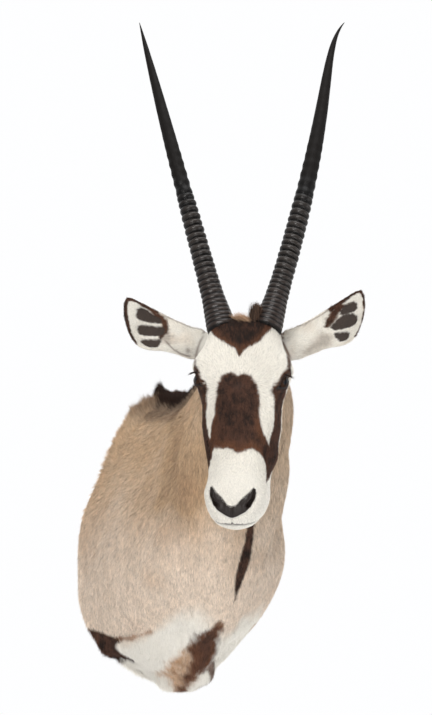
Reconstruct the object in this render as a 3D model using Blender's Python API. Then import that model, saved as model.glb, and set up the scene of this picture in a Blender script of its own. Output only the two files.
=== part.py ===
"""A gemsbok shoulder mount: two ringed horns on a head with neck and shoulders, glass eyes, and the
board and hanger plate behind it. The board's back lies in the plane y = 0, which is the wall. The
animal looks along -Y, turned a little towards -X, and +Z is up. Sizes are in metres."""

import math

import bmesh
import bpy
import numpy as np
from mathutils import Matrix, Vector

GAP = 0.0003  # between two pieces that touch

# Board and hanger
BOARD_THICKNESS = 0.018
BOARD_MARGIN = 0.016  # how far the hide stands out past the board's edge
BOARD_POINTS = 36
PLATE_WIDTH = 0.024
PLATE_HEIGHT = 0.064
PLATE_THICKNESS = 0.002
PLATE_CENTRE_Z = 0.150
KEYHOLE_RADIUS = 0.0055
KEYHOLE_SLOT = 0.0055  # width of the narrow part that the wall screw's neck slides into
KEYHOLE_RISE = 0.011
KEYHOLE_DROP = 0.004  # centre of the round part below the plate's centre
POCKET_DEPTH = 0.010
POCKET_WIDTH = 0.014
POCKET_HEIGHT = 0.030
SCREW_REACH = 0.014
SCREW_SHANK_RADIUS = 0.0016
SCREW_HEAD_RADIUS = 0.0034
SCREW_HEAD_DEPTH = 0.0018
SCREW_SPACING = 0.048

# Trunk: each row is one cut through neck and shoulders, from the board to the back of the head. It
# gives the nape's y and z, the throat's y and z, and the half width at six even steps from the one
# down to the other.
TRUNK_ROWS = (
    (-0.0183, 0.284, -0.0183, -0.284, 0.172, 0.168, 0.194, 0.204, 0.212, 0.155),
    (-0.068, 0.283, -0.115, -0.290, 0.120, 0.148, 0.180, 0.190, 0.168, 0.078),
    (-0.128, 0.288, -0.215, -0.228, 0.085, 0.122, 0.156, 0.177, 0.158, 0.078),
    (-0.188, 0.306, -0.300, -0.135, 0.074, 0.106, 0.126, 0.143, 0.151, 0.086),
    (-0.245, 0.334, -0.355, -0.040, 0.070, 0.098, 0.112, 0.116, 0.122, 0.090),
    (-0.300, 0.362, -0.385, 0.050, 0.070, 0.095, 0.108, 0.110, 0.108, 0.088),
    (-0.350, 0.388, -0.405, 0.125, 0.066, 0.090, 0.103, 0.106, 0.101, 0.082),
    (-0.395, 0.405, -0.420, 0.190, 0.058, 0.080, 0.095, 0.098, 0.092, 0.076),
    (-0.430, 0.410, -0.440, 0.245, 0.046, 0.060, 0.070, 0.070, 0.066, 0.056),
)
TRUNK_CUTS = 23
TRUNK_SIDE_POINTS = 15
TRUNK_ROUNDNESS = 0.8

# Head: its own axes are across (animal's left), down the face and out of the face.
FACE_TOP = (-0.0535, -0.518, 0.447)  # between the horns, on the plane of the face
HEAD_TURN = math.radians(29)  # from -Y towards -X
HEAD_LEAN = math.radians(13)  # the face's lean from upright, nose forward
HEAD_ROLL = math.radians(1.9)
# Distance down the face, half width, front, back and widest depth, how much the jaw narrows, and
# how square the cut is: 1 is an ellipse, and less is squarer
HEAD_ROWS = (
    (-0.026, 0.034, -0.078, -0.120, -0.098, 0.20, 0.90),
    (-0.014, 0.052, -0.038, -0.138, -0.090, 0.25, 0.80),
    (0.004, 0.063, -0.010, -0.152, -0.080, 0.30, 0.72),
    (0.040, 0.074, -0.001, -0.170, -0.075, 0.35, 0.68),
    (0.080, 0.090, 0.001, -0.184, -0.058, 0.42, 0.80),
    (0.112, 0.082, 0.001, -0.190, -0.056, 0.42, 0.86),
    (0.145, 0.070, 0.000, -0.186, -0.076, 0.20, 0.72),
    (0.180, 0.068, 0.000, -0.172, -0.090, 0.16, 0.74),
    (0.215, 0.063, 0.000, -0.157, -0.096, 0.12, 0.80),
    (0.250, 0.057, 0.001, -0.140, -0.094, 0.10, 0.84),
    (0.285, 0.0555, 0.002, -0.122, -0.064, 0.12, 0.72),
    (0.310, 0.057, 0.002, -0.112, -0.050, 0.12, 0.68),
    (0.330, 0.052, -0.002, -0.104, -0.050, 0.10, 0.70),
    (0.345, 0.043, -0.010, -0.096, -0.052, 0.08, 0.76),
    (0.357, 0.030, -0.022, -0.086, -0.054, 0.05, 0.84),
    (0.364, 0.012, -0.040, -0.070, -0.055, 0.00, 0.95),
)
HEAD_CUTS = 30
HEAD_POINTS = 26

# Eyes, in the head's axes
EYE_RADIUS = 0.018
EYE_ACROSS = 0.0640
EYE_DOWN = 0.106
EYE_OUT = -0.034

# Nostrils
NOSTRIL_ACROSS = 0.027
NOSTRIL_DOWN = 0.316
NOSTRIL_SIZE = (0.0055, 0.016, 0.008)
NOSTRIL_TILT = math.radians(38)

# Ears: distance out from the ear's root, upper edge, lower edge, depth of the back and of the front.
# The front is full at the root, where the ear is a tube, and hollow further out.
EAR_BACK_DEPTH = 0.100  # root behind the plane of the face
EAR_ROWS = (
    (-0.034, 0.020, -0.020, 0.018, 0.018),
    (0.000, 0.028, -0.029, 0.026, 0.022),
    (0.030, 0.027, -0.031, 0.026, 0.018),
    (0.060, 0.028, -0.034, 0.024, 0.006),
    (0.088, 0.031, -0.041, 0.022, -0.010),
    (0.108, 0.033, -0.039, 0.019, -0.012),
    (0.130, 0.036, -0.024, 0.013, -0.008),
    (0.150, 0.038, 0.001, 0.007, -0.004),
    (0.161, 0.036, 0.025, 0.003, -0.001),
)
EAR_EDGE = 0.0014
EAR_CUTS = 16
EAR_SIDE_POINTS = 9
EARS = (
    # side, root across and down, lift above level, stretch of the length
    (-1, (-0.086, 0.028), math.radians(18.4), 1.00),
    (1, (0.074, 0.025), math.radians(27.9), 1.01),
)

# Mane and poll tuft
MANE_HEIGHT = 0.030
MANE_HALF_WIDTH = (0.024, 0.010)  # at the board, where it splays, and further out
MANE_SPLAY = 0.25  # share of its length over which it narrows
MANE_BURY = 0.022
MANE_START = 0.03  # in rows of the trunk, so that it stands clear of the board
MANE_SPAN = 0.80  # share of the nape that carries it
MANE_CUTS = 12

TUFT_PLACE = (0.006, -0.004, -0.058)  # in the head's axes
TUFT_SIZE = (0.017, 0.016, 0.034)
TUFT_TILT = math.radians(14)

# Horns: how far the axis runs before and after the skin, the radii and the rings
HORN_PLUG = 0.030
HORN_RING_COUNT = 21
HORN_RING_PITCH = (0.0092, 0.0148)  # first and last
HORN_RING_RELIEF = 0.0013
HORN_SIDES = 12
# Share of the length and radius
HORN_RADII = (
    (0.00, 0.0220),
    (0.05, 0.0194),
    (0.12, 0.0179),
    (0.20, 0.0170),
    (0.39, 0.0149),
    (0.68, 0.0112),
    (0.90, 0.0054),
    (0.97, 0.0024),
)
HORN_TIP_RADIUS = 0.0009
HORNS = {
    # base, tip, sideways bow of the middle and hook of the tip
    "right_horn": ((-0.077, -0.464, 0.452), (-0.115, -0.148, 1.032), -0.002, 0.000),
    "left_horn": ((0.005, -0.509, 0.452), (0.256, -0.298, 1.032), 0.008, 0.028),
}


def clear_scene():
    for obj in list(bpy.data.objects):
        bpy.data.objects.remove(obj, do_unlink=True)


def new_collection(name):
    made = bpy.data.collections.new(name)
    bpy.context.scene.collection.children.link(made)
    return made


def material(name, colour, roughness, metallic=0.0):
    made = bpy.data.materials.new(name)
    made.use_nodes = True
    shader = made.node_tree.nodes["Principled BSDF"]
    shader.inputs["Base Color"].default_value = (*colour, 1)
    shader.inputs["Roughness"].default_value = roughness
    shader.inputs["Metallic"].default_value = metallic
    return made


def spline(rows, at):
    """Catmull-Rom curve through rows, read at row numbers that may lie between two rows."""
    rows = np.asarray(rows, float)
    if rows.ndim == 1:
        rows = rows[:, None]
    at = np.clip(np.atleast_1d(np.asarray(at, float)), 0, len(rows) - 1)
    low = np.minimum(at.astype(int), len(rows) - 2)
    share = (at - low)[:, None]
    ended = np.vstack([2 * rows[0] - rows[1], rows, 2 * rows[-1] - rows[-2]])
    a, b, c, d = (ended[low + k] for k in range(4))
    linear = (c - a) * share
    square = (2 * a - 5 * b + 4 * c - d) * share**2
    cube = (3 * b - a - 3 * c + d) * share**3
    return (2 * b + linear + square + cube) / 2


def loft(name, rings, collection, finish=None, smooth=True):
    """A closed solid through rings of equally many points, with a fan of faces over each end."""
    count = len(rings[0])
    points = [tuple(p) for ring in rings for p in ring]
    first, last = len(points), len(points) + 1
    points += [tuple(np.mean(rings[0], axis=0)), tuple(np.mean(rings[-1], axis=0))]
    faces = []
    for r in range(len(rings) - 1):
        for k in range(count):
            n = (k + 1) % count
            low, high = r * count, (r + 1) * count
            faces.append((low + k, low + n, high + n, high + k))
    top = (len(rings) - 1) * count
    for k in range(count):
        n = (k + 1) % count
        faces.append((first, n, k))
        faces.append((last, top + k, top + n))
    mesh = bpy.data.meshes.new(name)
    mesh.from_pydata(points, [], faces)
    shape = bmesh.new()
    shape.from_mesh(mesh)
    bmesh.ops.recalc_face_normals(shape, faces=shape.faces)
    shape.to_mesh(mesh)
    shape.free()
    obj = bpy.data.objects.new(name, mesh)
    collection.objects.link(obj)
    if smooth:
        mesh.shade_smooth()
        mesh.set_sharp_from_angle(angle=math.radians(50))
    if finish:
        mesh.materials.append(finish)
    return obj


def boolean(obj, tool, operation):
    """Joins or cuts obj with tool at once, and removes a tool that was joined."""
    modifier = obj.modifiers.new(operation.title(), "BOOLEAN")
    modifier.operation = operation
    modifier.object = tool
    modifier.solver = "EXACT"
    graph = bpy.context.evaluated_depsgraph_get()
    mesh = bpy.data.meshes.new_from_object(obj.evaluated_get(graph))
    obj.modifiers.remove(modifier)
    old = obj.data
    obj.data = mesh
    bpy.data.meshes.remove(old)
    if operation == "UNION":
        bpy.data.objects.remove(tool, do_unlink=True)


def as_cutter(obj):
    obj.hide_render = True
    obj.display_type = "WIRE"
    return obj


def trunk_ring(row_number):
    """One cut through neck and shoulders, and the nape's point of it."""
    row = spline(TRUNK_ROWS, row_number)[0]
    nape, throat, widths = row[0:2], row[2:4], row[4:]
    angle = np.linspace(0, math.pi, TRUNK_SIDE_POINTS)
    share = (1 - np.cos(angle)) / 2
    half = spline(widths, share * (len(widths) - 1))[:, 0] * np.sin(angle) ** TRUNK_ROUNDNESS
    half[[0, -1]] = 0
    line = nape + (throat - nape) * share[:, None]
    left = np.column_stack([half, line])
    right = np.column_stack([-half, line])[-2:0:-1]
    return np.vstack([left, right])


def make_trunk(collection, finish):
    cuts = np.linspace(0, len(TRUNK_ROWS) - 1, TRUNK_CUTS)
    return loft("hide", [trunk_ring(c) for c in cuts], collection, finish)


def head_axes():
    """The head's own frame: across, down the face and out of the face."""
    ahead = Vector((-math.sin(HEAD_TURN), -math.cos(HEAD_TURN), 0))
    across = Vector((math.cos(HEAD_TURN), -math.sin(HEAD_TURN), 0))
    down = ahead * math.sin(HEAD_LEAN) - Vector((0, 0, 1)) * math.cos(HEAD_LEAN)
    out = ahead * math.cos(HEAD_LEAN) + Vector((0, 0, 1)) * math.sin(HEAD_LEAN)
    roll = Matrix.Rotation(-HEAD_ROLL, 3, out)
    return roll @ across, roll @ down, out


def in_head(across, down, out):
    """A place in the head's own axes, in the object's frame."""
    axes = head_axes()
    return Vector(FACE_TOP) + axes[0] * across + axes[1] * down + axes[2] * out


def head_matrix(across, down, out):
    """Placement of a shape whose X, Y and Z are the head's across, inward and up."""
    axes = head_axes()
    turn = Matrix((axes[0], -axes[2], -axes[1])).transposed()
    return Matrix.Translation(in_head(across, down, out)) @ turn.to_4x4()


def head_ring(row_number):
    down, half, front, back, widest, narrowing, square = spline(HEAD_ROWS, row_number)[0]
    ring = []
    for k in range(HEAD_POINTS):
        angle = 2 * math.pi * k / HEAD_POINTS
        side, forward = math.sin(angle), math.cos(angle)
        reach = abs(forward) ** square
        across = half * math.copysign(abs(side) ** square, side)
        if forward > 0:
            out = widest + (front - widest) * reach
        else:
            out = widest + (back - widest) * reach
            across *= 1 - narrowing * reach
        ring.append(in_head(across, down, out))
    return ring


def make_head(collection, finish):
    cuts = np.linspace(0, len(HEAD_ROWS) - 1, HEAD_CUTS)
    return loft("head", [head_ring(c) for c in cuts], collection, finish)


def ear_ring(row_number, side, root, lift, stretch):
    """One cut across an ear, whose hollow faces forward."""
    length, upper, lower, back, front = spline(EAR_ROWS, row_number)[0]
    length *= stretch
    middle, half = (upper + lower) / 2, (upper - lower) / 2
    along = Vector((side * math.cos(lift), math.sin(lift)))
    rise = Vector((-side * math.sin(lift), math.cos(lift)))
    ring = []
    steps = np.linspace(-1, 1, EAR_SIDE_POINTS)
    rear = [(q, -EAR_EDGE - back * (1 - q * q) ** 0.8) for q in steps]
    fore = [(q, EAR_EDGE + front * (1 - q * q)) for q in steps[::-1]]
    for q, depth in rear + fore:
        place = along * length + rise * (middle + q * half)
        ring.append(in_head(root[0] + place[0], root[1] - place[1], depth - EAR_BACK_DEPTH))
    return ring


def make_ear(collection, finish, side, root, lift, stretch):
    cuts = np.linspace(0, len(EAR_ROWS) - 1, EAR_CUTS)
    rings = [ear_ring(c, side, root, lift, stretch) for c in cuts]
    return loft("ear", rings, collection, finish)


def mane_ring(share):
    """A narrow upright cut through the hair that stands along the nape."""
    number = MANE_START + share * MANE_SPAN * (len(TRUNK_ROWS) - 1)
    foot = trunk_ring(number)[0]
    fade = math.sin(math.pi * min(1, 0.12 + share * 0.88) ** 0.8) ** 0.35
    height = MANE_HEIGHT * (0.35 + 0.65 * fade)
    splayed, narrow = MANE_HALF_WIDTH
    half = narrow + (splayed - narrow) * max(0, 1 - share / MANE_SPLAY) ** 2
    ring = []
    for angle in np.linspace(0, 2 * math.pi, 9)[:-1]:
        up = math.cos(angle)
        across = half * math.sin(angle)
        ring.append((foot[0] + across, foot[1], foot[2] + (height if up > 0 else MANE_BURY) * up))
    return ring


def make_mane(collection, finish):
    return loft("mane", [mane_ring(s) for s in np.linspace(0, 1, MANE_CUTS)], collection, finish)


def ellipsoid(name, matrix, size, collection, segments=16, rings=10):
    mesh = bpy.data.meshes.new(name)
    shape = bmesh.new()
    bmesh.ops.create_uvsphere(shape, u_segments=segments, v_segments=rings, radius=1)
    bmesh.ops.transform(shape, matrix=matrix @ Matrix.Diagonal((*size, 1)), verts=shape.verts)
    shape.to_mesh(mesh)
    shape.free()
    obj = bpy.data.objects.new(name, mesh)
    collection.objects.link(obj)
    mesh.shade_smooth()
    return obj


def make_tuft(collection):
    """The lock that stands up between the horns."""
    matrix = head_matrix(*TUFT_PLACE) @ Matrix.Rotation(TUFT_TILT, 4, "Y")
    return ellipsoid("tuft", matrix, TUFT_SIZE, collection, 12, 8)


def horn_axis(name, share):
    """A point on the horn's axis and the axis's direction there. Share 0 is the skin and 1 the tip."""
    base, tip, bow, hook = HORNS[name]
    base, tip = Vector(base), Vector(tip)
    along = tip - base
    aside = Vector((1, 0, 0)) - along.normalized() * along.normalized().x
    aside.normalize()

    def place(s):
        rise = max(0, s)
        return base + along * s + aside * (4 * bow * s * (1 - s) - hook * (rise**3 - rise**14))

    step = 0.004
    return place(share), (place(share + step) - place(share - step)).normalized()


def horn_radius(share):
    places, radii = zip(*HORN_RADII, (1.0, HORN_TIP_RADIUS))
    return float(np.interp(share, places, radii))


def horn_ring(name, share, swell):
    centre, along = horn_axis(name, share)
    first = along.cross(Vector((0, 1, 0))).normalized()
    second = along.cross(first)
    radius = horn_radius(share) + swell
    turns = [2 * math.pi * k / HORN_SIDES for k in range(HORN_SIDES)]
    return [centre + (first * math.cos(t) + second * math.sin(t)) * radius for t in turns]


def horn_length(name):
    base, tip = HORNS[name][:2]
    return (Vector(tip) - Vector(base)).length


def make_horn(name, collection, finish):
    """A horn with swollen rings over its lower part and a plain tapering point."""
    length = horn_length(name)
    rings = [horn_ring(name, -HORN_PLUG / length, -HORN_RING_RELIEF)]
    travelled = 0.0
    for k in range(HORN_RING_COUNT):
        first, last = HORN_RING_PITCH
        pitch = first + (last - first) * k / (HORN_RING_COUNT - 1)
        relief = HORN_RING_RELIEF * (1 - 0.5 * k / HORN_RING_COUNT)
        for part, swell in ((0.0, -0.8), (0.30, 0.9), (0.68, 0.8)):
            rings.append(horn_ring(name, (travelled + part * pitch) / length, swell * relief))
        travelled += pitch
    start = travelled / length
    for share in np.linspace(start, 1, 11):
        rings.append(horn_ring(name, share, 0))
    return loft(name, rings, collection, finish)


def horn_socket(name, collection):
    """What the hide gives up so that the horn's root can sit in it."""
    length = horn_length(name)
    ease = HORN_RING_RELIEF + GAP
    shares = (-(HORN_PLUG + GAP) / length, 0, 0.04, 0.09)
    return as_cutter(loft(name + "_socket", [horn_ring(name, s, ease) for s in shares], collection))


def board_outline():
    """The trunk's cut at the board, drawn in by the margin, as x and z."""
    ring = trunk_ring(0)
    x, z = ring[:, 0], ring[:, 2]
    centre = (z.max() + z.min()) / 2
    angle = np.arctan2(z - centre, x)
    radius = np.hypot(x, z - centre) - BOARD_MARGIN
    turns = np.linspace(-math.pi, math.pi, BOARD_POINTS, endpoint=False)
    order = np.argsort(angle)
    even = np.interp(turns, angle[order], radius[order], period=2 * math.pi)
    return [(r * math.cos(t), centre + r * math.sin(t)) for r, t in zip(even, turns)]


def flat_piece(name, outline, thickness, collection):
    """A flat outline in x and z, thick along y, its back face in the plane y = 0."""
    curve = bpy.data.curves.new(name, "CURVE")
    curve.dimensions = "2D"
    curve.fill_mode = "BOTH"
    curve.extrude = thickness / 2
    path = curve.splines.new("POLY")
    path.points.add(len(outline) - 1)
    for point, (x, z) in zip(path.points, outline):
        point.co = (x, z, 0, 1)
    path.use_cyclic_u = True
    drawn = bpy.data.objects.new(name + "_curve", curve)
    collection.objects.link(drawn)
    drawn.matrix_world = Matrix.Translation((0, -thickness / 2, 0)) @ Matrix.Rotation(math.pi / 2, 4, "X")
    bpy.context.view_layer.update()
    graph = bpy.context.evaluated_depsgraph_get()
    mesh = bpy.data.meshes.new_from_object(drawn.evaluated_get(graph))
    shape = bmesh.new()
    shape.from_mesh(mesh)
    bmesh.ops.remove_doubles(shape, verts=shape.verts, dist=0.00001)
    bmesh.ops.transform(shape, matrix=drawn.matrix_world, verts=shape.verts)
    bmesh.ops.recalc_face_normals(shape, faces=shape.faces)
    shape.to_mesh(mesh)
    shape.free()
    mesh.name = name
    obj = bpy.data.objects.new(name, mesh)
    collection.objects.link(obj)
    bpy.data.objects.remove(drawn, do_unlink=True)
    return obj


def block(name, centre, size, collection):
    mesh = bpy.data.meshes.new(name)
    shape = bmesh.new()
    bmesh.ops.create_cube(shape, size=1)
    bmesh.ops.transform(
        shape, matrix=Matrix.Translation(centre) @ Matrix.Diagonal((*size, 1)), verts=shape.verts
    )
    shape.to_mesh(mesh)
    shape.free()
    obj = bpy.data.objects.new(name, mesh)
    collection.objects.link(obj)
    return obj


def keyhole(collection):
    """The round hole with its narrow slot above, through the plate."""
    centre = PLATE_CENTRE_Z - KEYHOLE_DROP
    half = KEYHOLE_SLOT / 2
    meet = math.acos(half / KEYHOLE_RADIUS)
    outline = []
    for turn in np.linspace(math.pi - meet, 2 * math.pi + meet, 15):
        outline.append((KEYHOLE_RADIUS * math.cos(turn), centre + KEYHOLE_RADIUS * math.sin(turn)))
    for turn in np.linspace(0, math.pi, 9):
        outline.append((half * math.cos(turn), centre + KEYHOLE_RISE + half * math.sin(turn)))
    cutter = flat_piece("keyhole", outline, 4 * PLATE_THICKNESS, collection)
    cutter.data.transform(Matrix.Translation((0, PLATE_THICKNESS, 0)))
    return as_cutter(cutter)


def screw_profile(extra):
    """Radius and depth of a countersunk screw, head first, grown by extra."""
    head, shank = SCREW_HEAD_RADIUS + extra, SCREW_SHANK_RADIUS + extra
    return [
        (head, 0.0),
        (shank, -SCREW_HEAD_DEPTH - extra),
        (shank, -SCREW_REACH - extra),
    ]


def make_screw(name, z, extra, lead, collection, finish=None):
    """A screw along y, its head's face just under the board's back. Lead carries a cutter past it."""
    rings = []
    for radius, depth in ([(SCREW_HEAD_RADIUS + extra, lead)] if lead else []) + screw_profile(extra):
        turns = [2 * math.pi * k / 16 for k in range(16)]
        y = depth - (0 if lead else GAP)
        rings.append([(radius * math.cos(t), y, z + radius * math.sin(t)) for t in turns])
    return loft(name, rings, collection, finish)


def make_hanger(collection, cutters, board, steel):
    """A keyhole plate let into the board's back, and its two screws."""
    half_width, half_height = PLATE_WIDTH / 2, PLATE_HEIGHT / 2
    corner = 0.004
    outline = []
    for quarter, (sx, sz) in enumerate(((1, 1), (-1, 1), (-1, -1), (1, -1))):
        for step in range(4):
            turn = math.pi / 2 * (quarter + step / 3)
            outline.append(
                (
                    sx * (half_width - corner) + corner * math.cos(turn),
                    PLATE_CENTRE_Z + sz * (half_height - corner) + corner * math.sin(turn),
                )
            )
    plate = flat_piece("hanger_plate", outline, PLATE_THICKNESS, collection)
    plate.data.transform(Matrix.Translation((0, -GAP, 0)))
    plate.data.materials.append(steel)
    boolean(plate, keyhole(cutters), "DIFFERENCE")
    bed_depth = PLATE_THICKNESS + 2 * GAP
    lead = 0.002
    bed = as_cutter(
        block(
            "plate_bed",
            (0, (lead - bed_depth) / 2, PLATE_CENTRE_Z),
            (PLATE_WIDTH + 2 * GAP, lead + bed_depth, PLATE_HEIGHT + 2 * GAP),
            cutters,
        )
    )
    pocket = as_cutter(
        block(
            "screw_pocket",
            (0, (lead - POCKET_DEPTH) / 2, PLATE_CENTRE_Z),
            (POCKET_WIDTH, lead + POCKET_DEPTH, POCKET_HEIGHT),
            cutters,
        )
    )
    boolean(board, bed, "DIFFERENCE")
    boolean(board, pocket, "DIFFERENCE")
    for place, sign in (("upper", 1), ("lower", -1)):
        z = PLATE_CENTRE_Z + sign * SCREW_SPACING / 2
        hole = as_cutter(make_screw(f"{place}_hole", z, GAP, lead, cutters))
        boolean(plate, hole, "DIFFERENCE")
        boolean(board, hole, "DIFFERENCE")
        make_screw(f"{place}_hanger_screw", z, 0.0, 0.0, collection, steel)


def make_eye(name, side, collection, finish):
    matrix = head_matrix(side * EYE_ACROSS, EYE_DOWN, EYE_OUT)
    eye = ellipsoid(name, matrix, (EYE_RADIUS,) * 3, collection, 14, 9)
    eye.data.materials.append(finish)
    return eye


def eye_socket(name, side, collection):
    matrix = head_matrix(side * EYE_ACROSS, EYE_DOWN, EYE_OUT)
    grown = EYE_RADIUS + 2 * GAP
    return as_cutter(ellipsoid(name, matrix, (grown,) * 3, collection, 14, 9))


def nostril(name, side, collection):
    matrix = head_matrix(side * NOSTRIL_ACROSS, NOSTRIL_DOWN, 0.001) @ Matrix.Rotation(
        side * NOSTRIL_TILT, 4, "Y"
    )
    cutter = ellipsoid(name, matrix, (NOSTRIL_SIZE[0], NOSTRIL_SIZE[2], NOSTRIL_SIZE[1]), collection, 12, 8)
    return as_cutter(cutter)


def main():
    clear_scene()
    mount = new_collection("gemsbok_shoulder_mount")
    cutters = new_collection("cutters")
    cutters.hide_render = True
    hair = material("short_hair", (0.47, 0.36, 0.26), 0.85)
    horn = material("horn", (0.025, 0.020, 0.017), 0.42)
    glass = material("eye_glass", (0.015, 0.008, 0.004), 0.05)
    wood = material("plywood", (0.55, 0.38, 0.20), 0.7)
    steel = material("zinc_steel", (0.55, 0.55, 0.53), 0.35, 1.0)

    hide = make_trunk(mount, hair)
    boolean(hide, make_head(cutters, hair), "UNION")
    for side, root, lift, stretch in EARS:
        boolean(hide, make_ear(cutters, hair, side, root, lift, stretch), "UNION")
    boolean(hide, make_mane(cutters, hair), "UNION")
    boolean(hide, make_tuft(cutters), "UNION")
    for name, side in (("right", -1), ("left", 1)):
        boolean(hide, eye_socket(name + "_eye_socket", side, cutters), "DIFFERENCE")
        boolean(hide, nostril(name + "_nostril", side, cutters), "DIFFERENCE")
        make_eye(name + "_eye", side, mount, glass)
    for name in HORNS:
        boolean(hide, horn_socket(name, cutters), "DIFFERENCE")
        make_horn(name, mount, horn)

    board = flat_piece("back_board", board_outline(), BOARD_THICKNESS, mount)
    board.data.materials.append(wood)
    make_hanger(mount, cutters, board, steel)


main()
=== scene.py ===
import math

import bmesh
import bpy
import numpy as np
from mathutils import Matrix, Vector
from mathutils.bvhtree import BVHTree


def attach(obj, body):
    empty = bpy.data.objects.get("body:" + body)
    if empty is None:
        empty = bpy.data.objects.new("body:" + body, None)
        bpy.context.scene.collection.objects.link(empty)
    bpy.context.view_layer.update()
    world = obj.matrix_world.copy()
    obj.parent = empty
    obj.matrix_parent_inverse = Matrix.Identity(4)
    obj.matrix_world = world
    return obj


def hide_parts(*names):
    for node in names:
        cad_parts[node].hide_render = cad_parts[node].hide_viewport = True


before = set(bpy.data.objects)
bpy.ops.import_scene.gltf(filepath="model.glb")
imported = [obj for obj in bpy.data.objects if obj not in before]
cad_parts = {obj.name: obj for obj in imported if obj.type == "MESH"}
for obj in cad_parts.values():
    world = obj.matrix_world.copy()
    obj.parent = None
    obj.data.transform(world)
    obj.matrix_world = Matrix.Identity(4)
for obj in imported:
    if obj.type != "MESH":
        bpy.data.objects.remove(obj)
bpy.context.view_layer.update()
print("frame loaded:", ", ".join(sorted(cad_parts)))


# Numbers and curves

def spline(rows, at):
    # Catmull-Rom curve through rows, read at row numbers that may lie between two rows
    rows = np.asarray(rows, float)
    if rows.ndim == 1:
        rows = rows[:, None]
    at = np.clip(np.atleast_1d(np.asarray(at, float)), 0, len(rows) - 1)
    low = np.minimum(at.astype(int), len(rows) - 2)
    share = (at - low)[:, None]
    ended = np.vstack([2 * rows[0] - rows[1], rows, 2 * rows[-1] - rows[-2]])
    a, b, c, d = (ended[low + k] for k in range(4))
    linear = (c - a) * share
    square = (2 * a - 5 * b + 4 * c - d) * share**2
    cube = (3 * b - a - 3 * c + d) * share**3
    return (2 * b + linear + square + cube) / 2


def ease(low, high, x):
    # 0 at low, 1 at high, with soft ends; low may be the larger
    t = np.clip((x - low) / (high - low), 0, 1)
    return t * t * (3 - 2 * t)


def unit(vectors):
    return vectors / np.maximum(np.linalg.norm(vectors, axis=-1, keepdims=True), 1e-12)


def blob(points, centre, reach):
    # 1 at the centre, falling off over the reach, which may differ by axis
    return np.exp(-(((points - np.asarray(centre)) / reach) ** 2).sum(-1))


def grain(points, size, seed=0):
    # smooth random values from -1 to 1, with lumps of about this size
    at = np.asarray(points, float) / size + 31.7 * (seed + 1)
    low = np.floor(at).astype(np.int64)
    part = at - low
    part = part * part * (3 - 2 * part)
    total = 0
    for corner in range(8):
        step = np.array([corner & 1, corner >> 1 & 1, corner >> 2])
        x, y, z = (low + step).T
        mixed = (x * 73856093) ^ (y * 19349663) ^ (z * 83492791) ^ (seed * 40503)
        mixed = (mixed ^ (mixed >> 13)) * 1274126177
        value = ((mixed >> 9) & 65535) / 32767.5 - 1
        total = total + np.prod(np.where(step, part, 1 - part), axis=1) * value
    return total


def inside(outline, x, y):
    # how far inside a closed outline each point lies, negative outside
    corners = np.asarray(outline, float)
    nearest = np.full(len(x), 1e9)
    odd = np.zeros(len(x), bool)
    for (x0, y0), (x1, y1) in zip(corners, np.roll(corners, -1, axis=0)):
        run, rise = x1 - x0, y1 - y0
        along = np.clip(((x - x0) * run + (y - y0) * rise) / (run**2 + rise**2), 0, 1)
        nearest = np.minimum(nearest, np.hypot(x - x0 - along * run, y - y0 - along * rise))
        if rise:
            odd ^= ((y0 > y) != (y1 > y)) & (x < run * (y - y0) / rise + x0)
    return np.where(odd, nearest, -nearest)


def toPath(path, x, y):
    # distance to an open path, and how far along it the nearest place is, from 0 to 1
    corners = np.asarray(path, float)
    nearest, place = np.full(len(x), 1e9), np.zeros(len(x))
    for k, ((x0, y0), (x1, y1)) in enumerate(zip(corners[:-1], corners[1:])):
        run, rise = x1 - x0, y1 - y0
        along = np.clip(((x - x0) * run + (y - y0) * rise) / (run**2 + rise**2), 0, 1)
        away = np.hypot(x - x0 - along * run, y - y0 - along * rise)
        place = np.where(away < nearest, (k + along) / (len(corners) - 1), place)
        nearest = np.minimum(nearest, away)
    return nearest, place


# Meshes

def makeObject(name, mesh):
    obj = bpy.data.objects.new(name, mesh)
    bpy.context.scene.collection.objects.link(obj)
    return obj


def loft(name, rings):
    # a closed skin through rings of equally many points
    rings = np.asarray(rings)
    cuts, count = rings.shape[:2]
    points = np.vstack([rings.reshape(-1, 3), rings[0].mean(0), rings[-1].mean(0)])
    k = np.arange(count)
    n = (k + 1) % count
    row = np.arange(cuts - 1)[:, None] * count
    quads = np.stack([row + k, row + n, row + count + n, row + count + k], -1).reshape(-1, 4)
    first, last, top = cuts * count, cuts * count + 1, (cuts - 1) * count
    fans = [(first, b, a) for a, b in zip(k, n)] + [(last, top + a, top + b) for a, b in zip(k, n)]
    mesh = bpy.data.meshes.new(name)
    mesh.from_pydata(points, [], quads.tolist() + fans)
    shape = bmesh.new()
    shape.from_mesh(mesh)
    bmesh.ops.recalc_face_normals(shape, faces=shape.faces)
    shape.to_mesh(mesh)
    shape.free()
    mesh.shade_smooth()
    return makeObject(name, mesh)


def pointsOf(mesh):
    found = np.empty(len(mesh.vertices) * 3)
    mesh.vertices.foreach_get("co", found)
    return found.reshape(-1, 3)


def normalsOf(mesh):
    found = np.empty(len(mesh.vertices) * 3)
    mesh.vertex_normals.foreach_get("vector", found)
    return found.reshape(-1, 3)


def setPoints(mesh, points):
    mesh.vertices.foreach_set("co", np.ascontiguousarray(points, float).ravel())
    mesh.update()


def setColours(mesh, name, columns):
    # four numbers for each vertex, read by the materials
    layer = mesh.attributes.new(name, "FLOAT_COLOR", "POINT")
    values = np.stack([np.broadcast_to(c, len(mesh.vertices)) for c in columns], 1)
    layer.data.foreach_set("color", values.astype(np.float32).ravel())


def edgesOf(mesh):
    found = np.empty(len(mesh.edges) * 2, np.int32)
    mesh.edges.foreach_get("vertices", found)
    return found.reshape(-1, 2)


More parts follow.
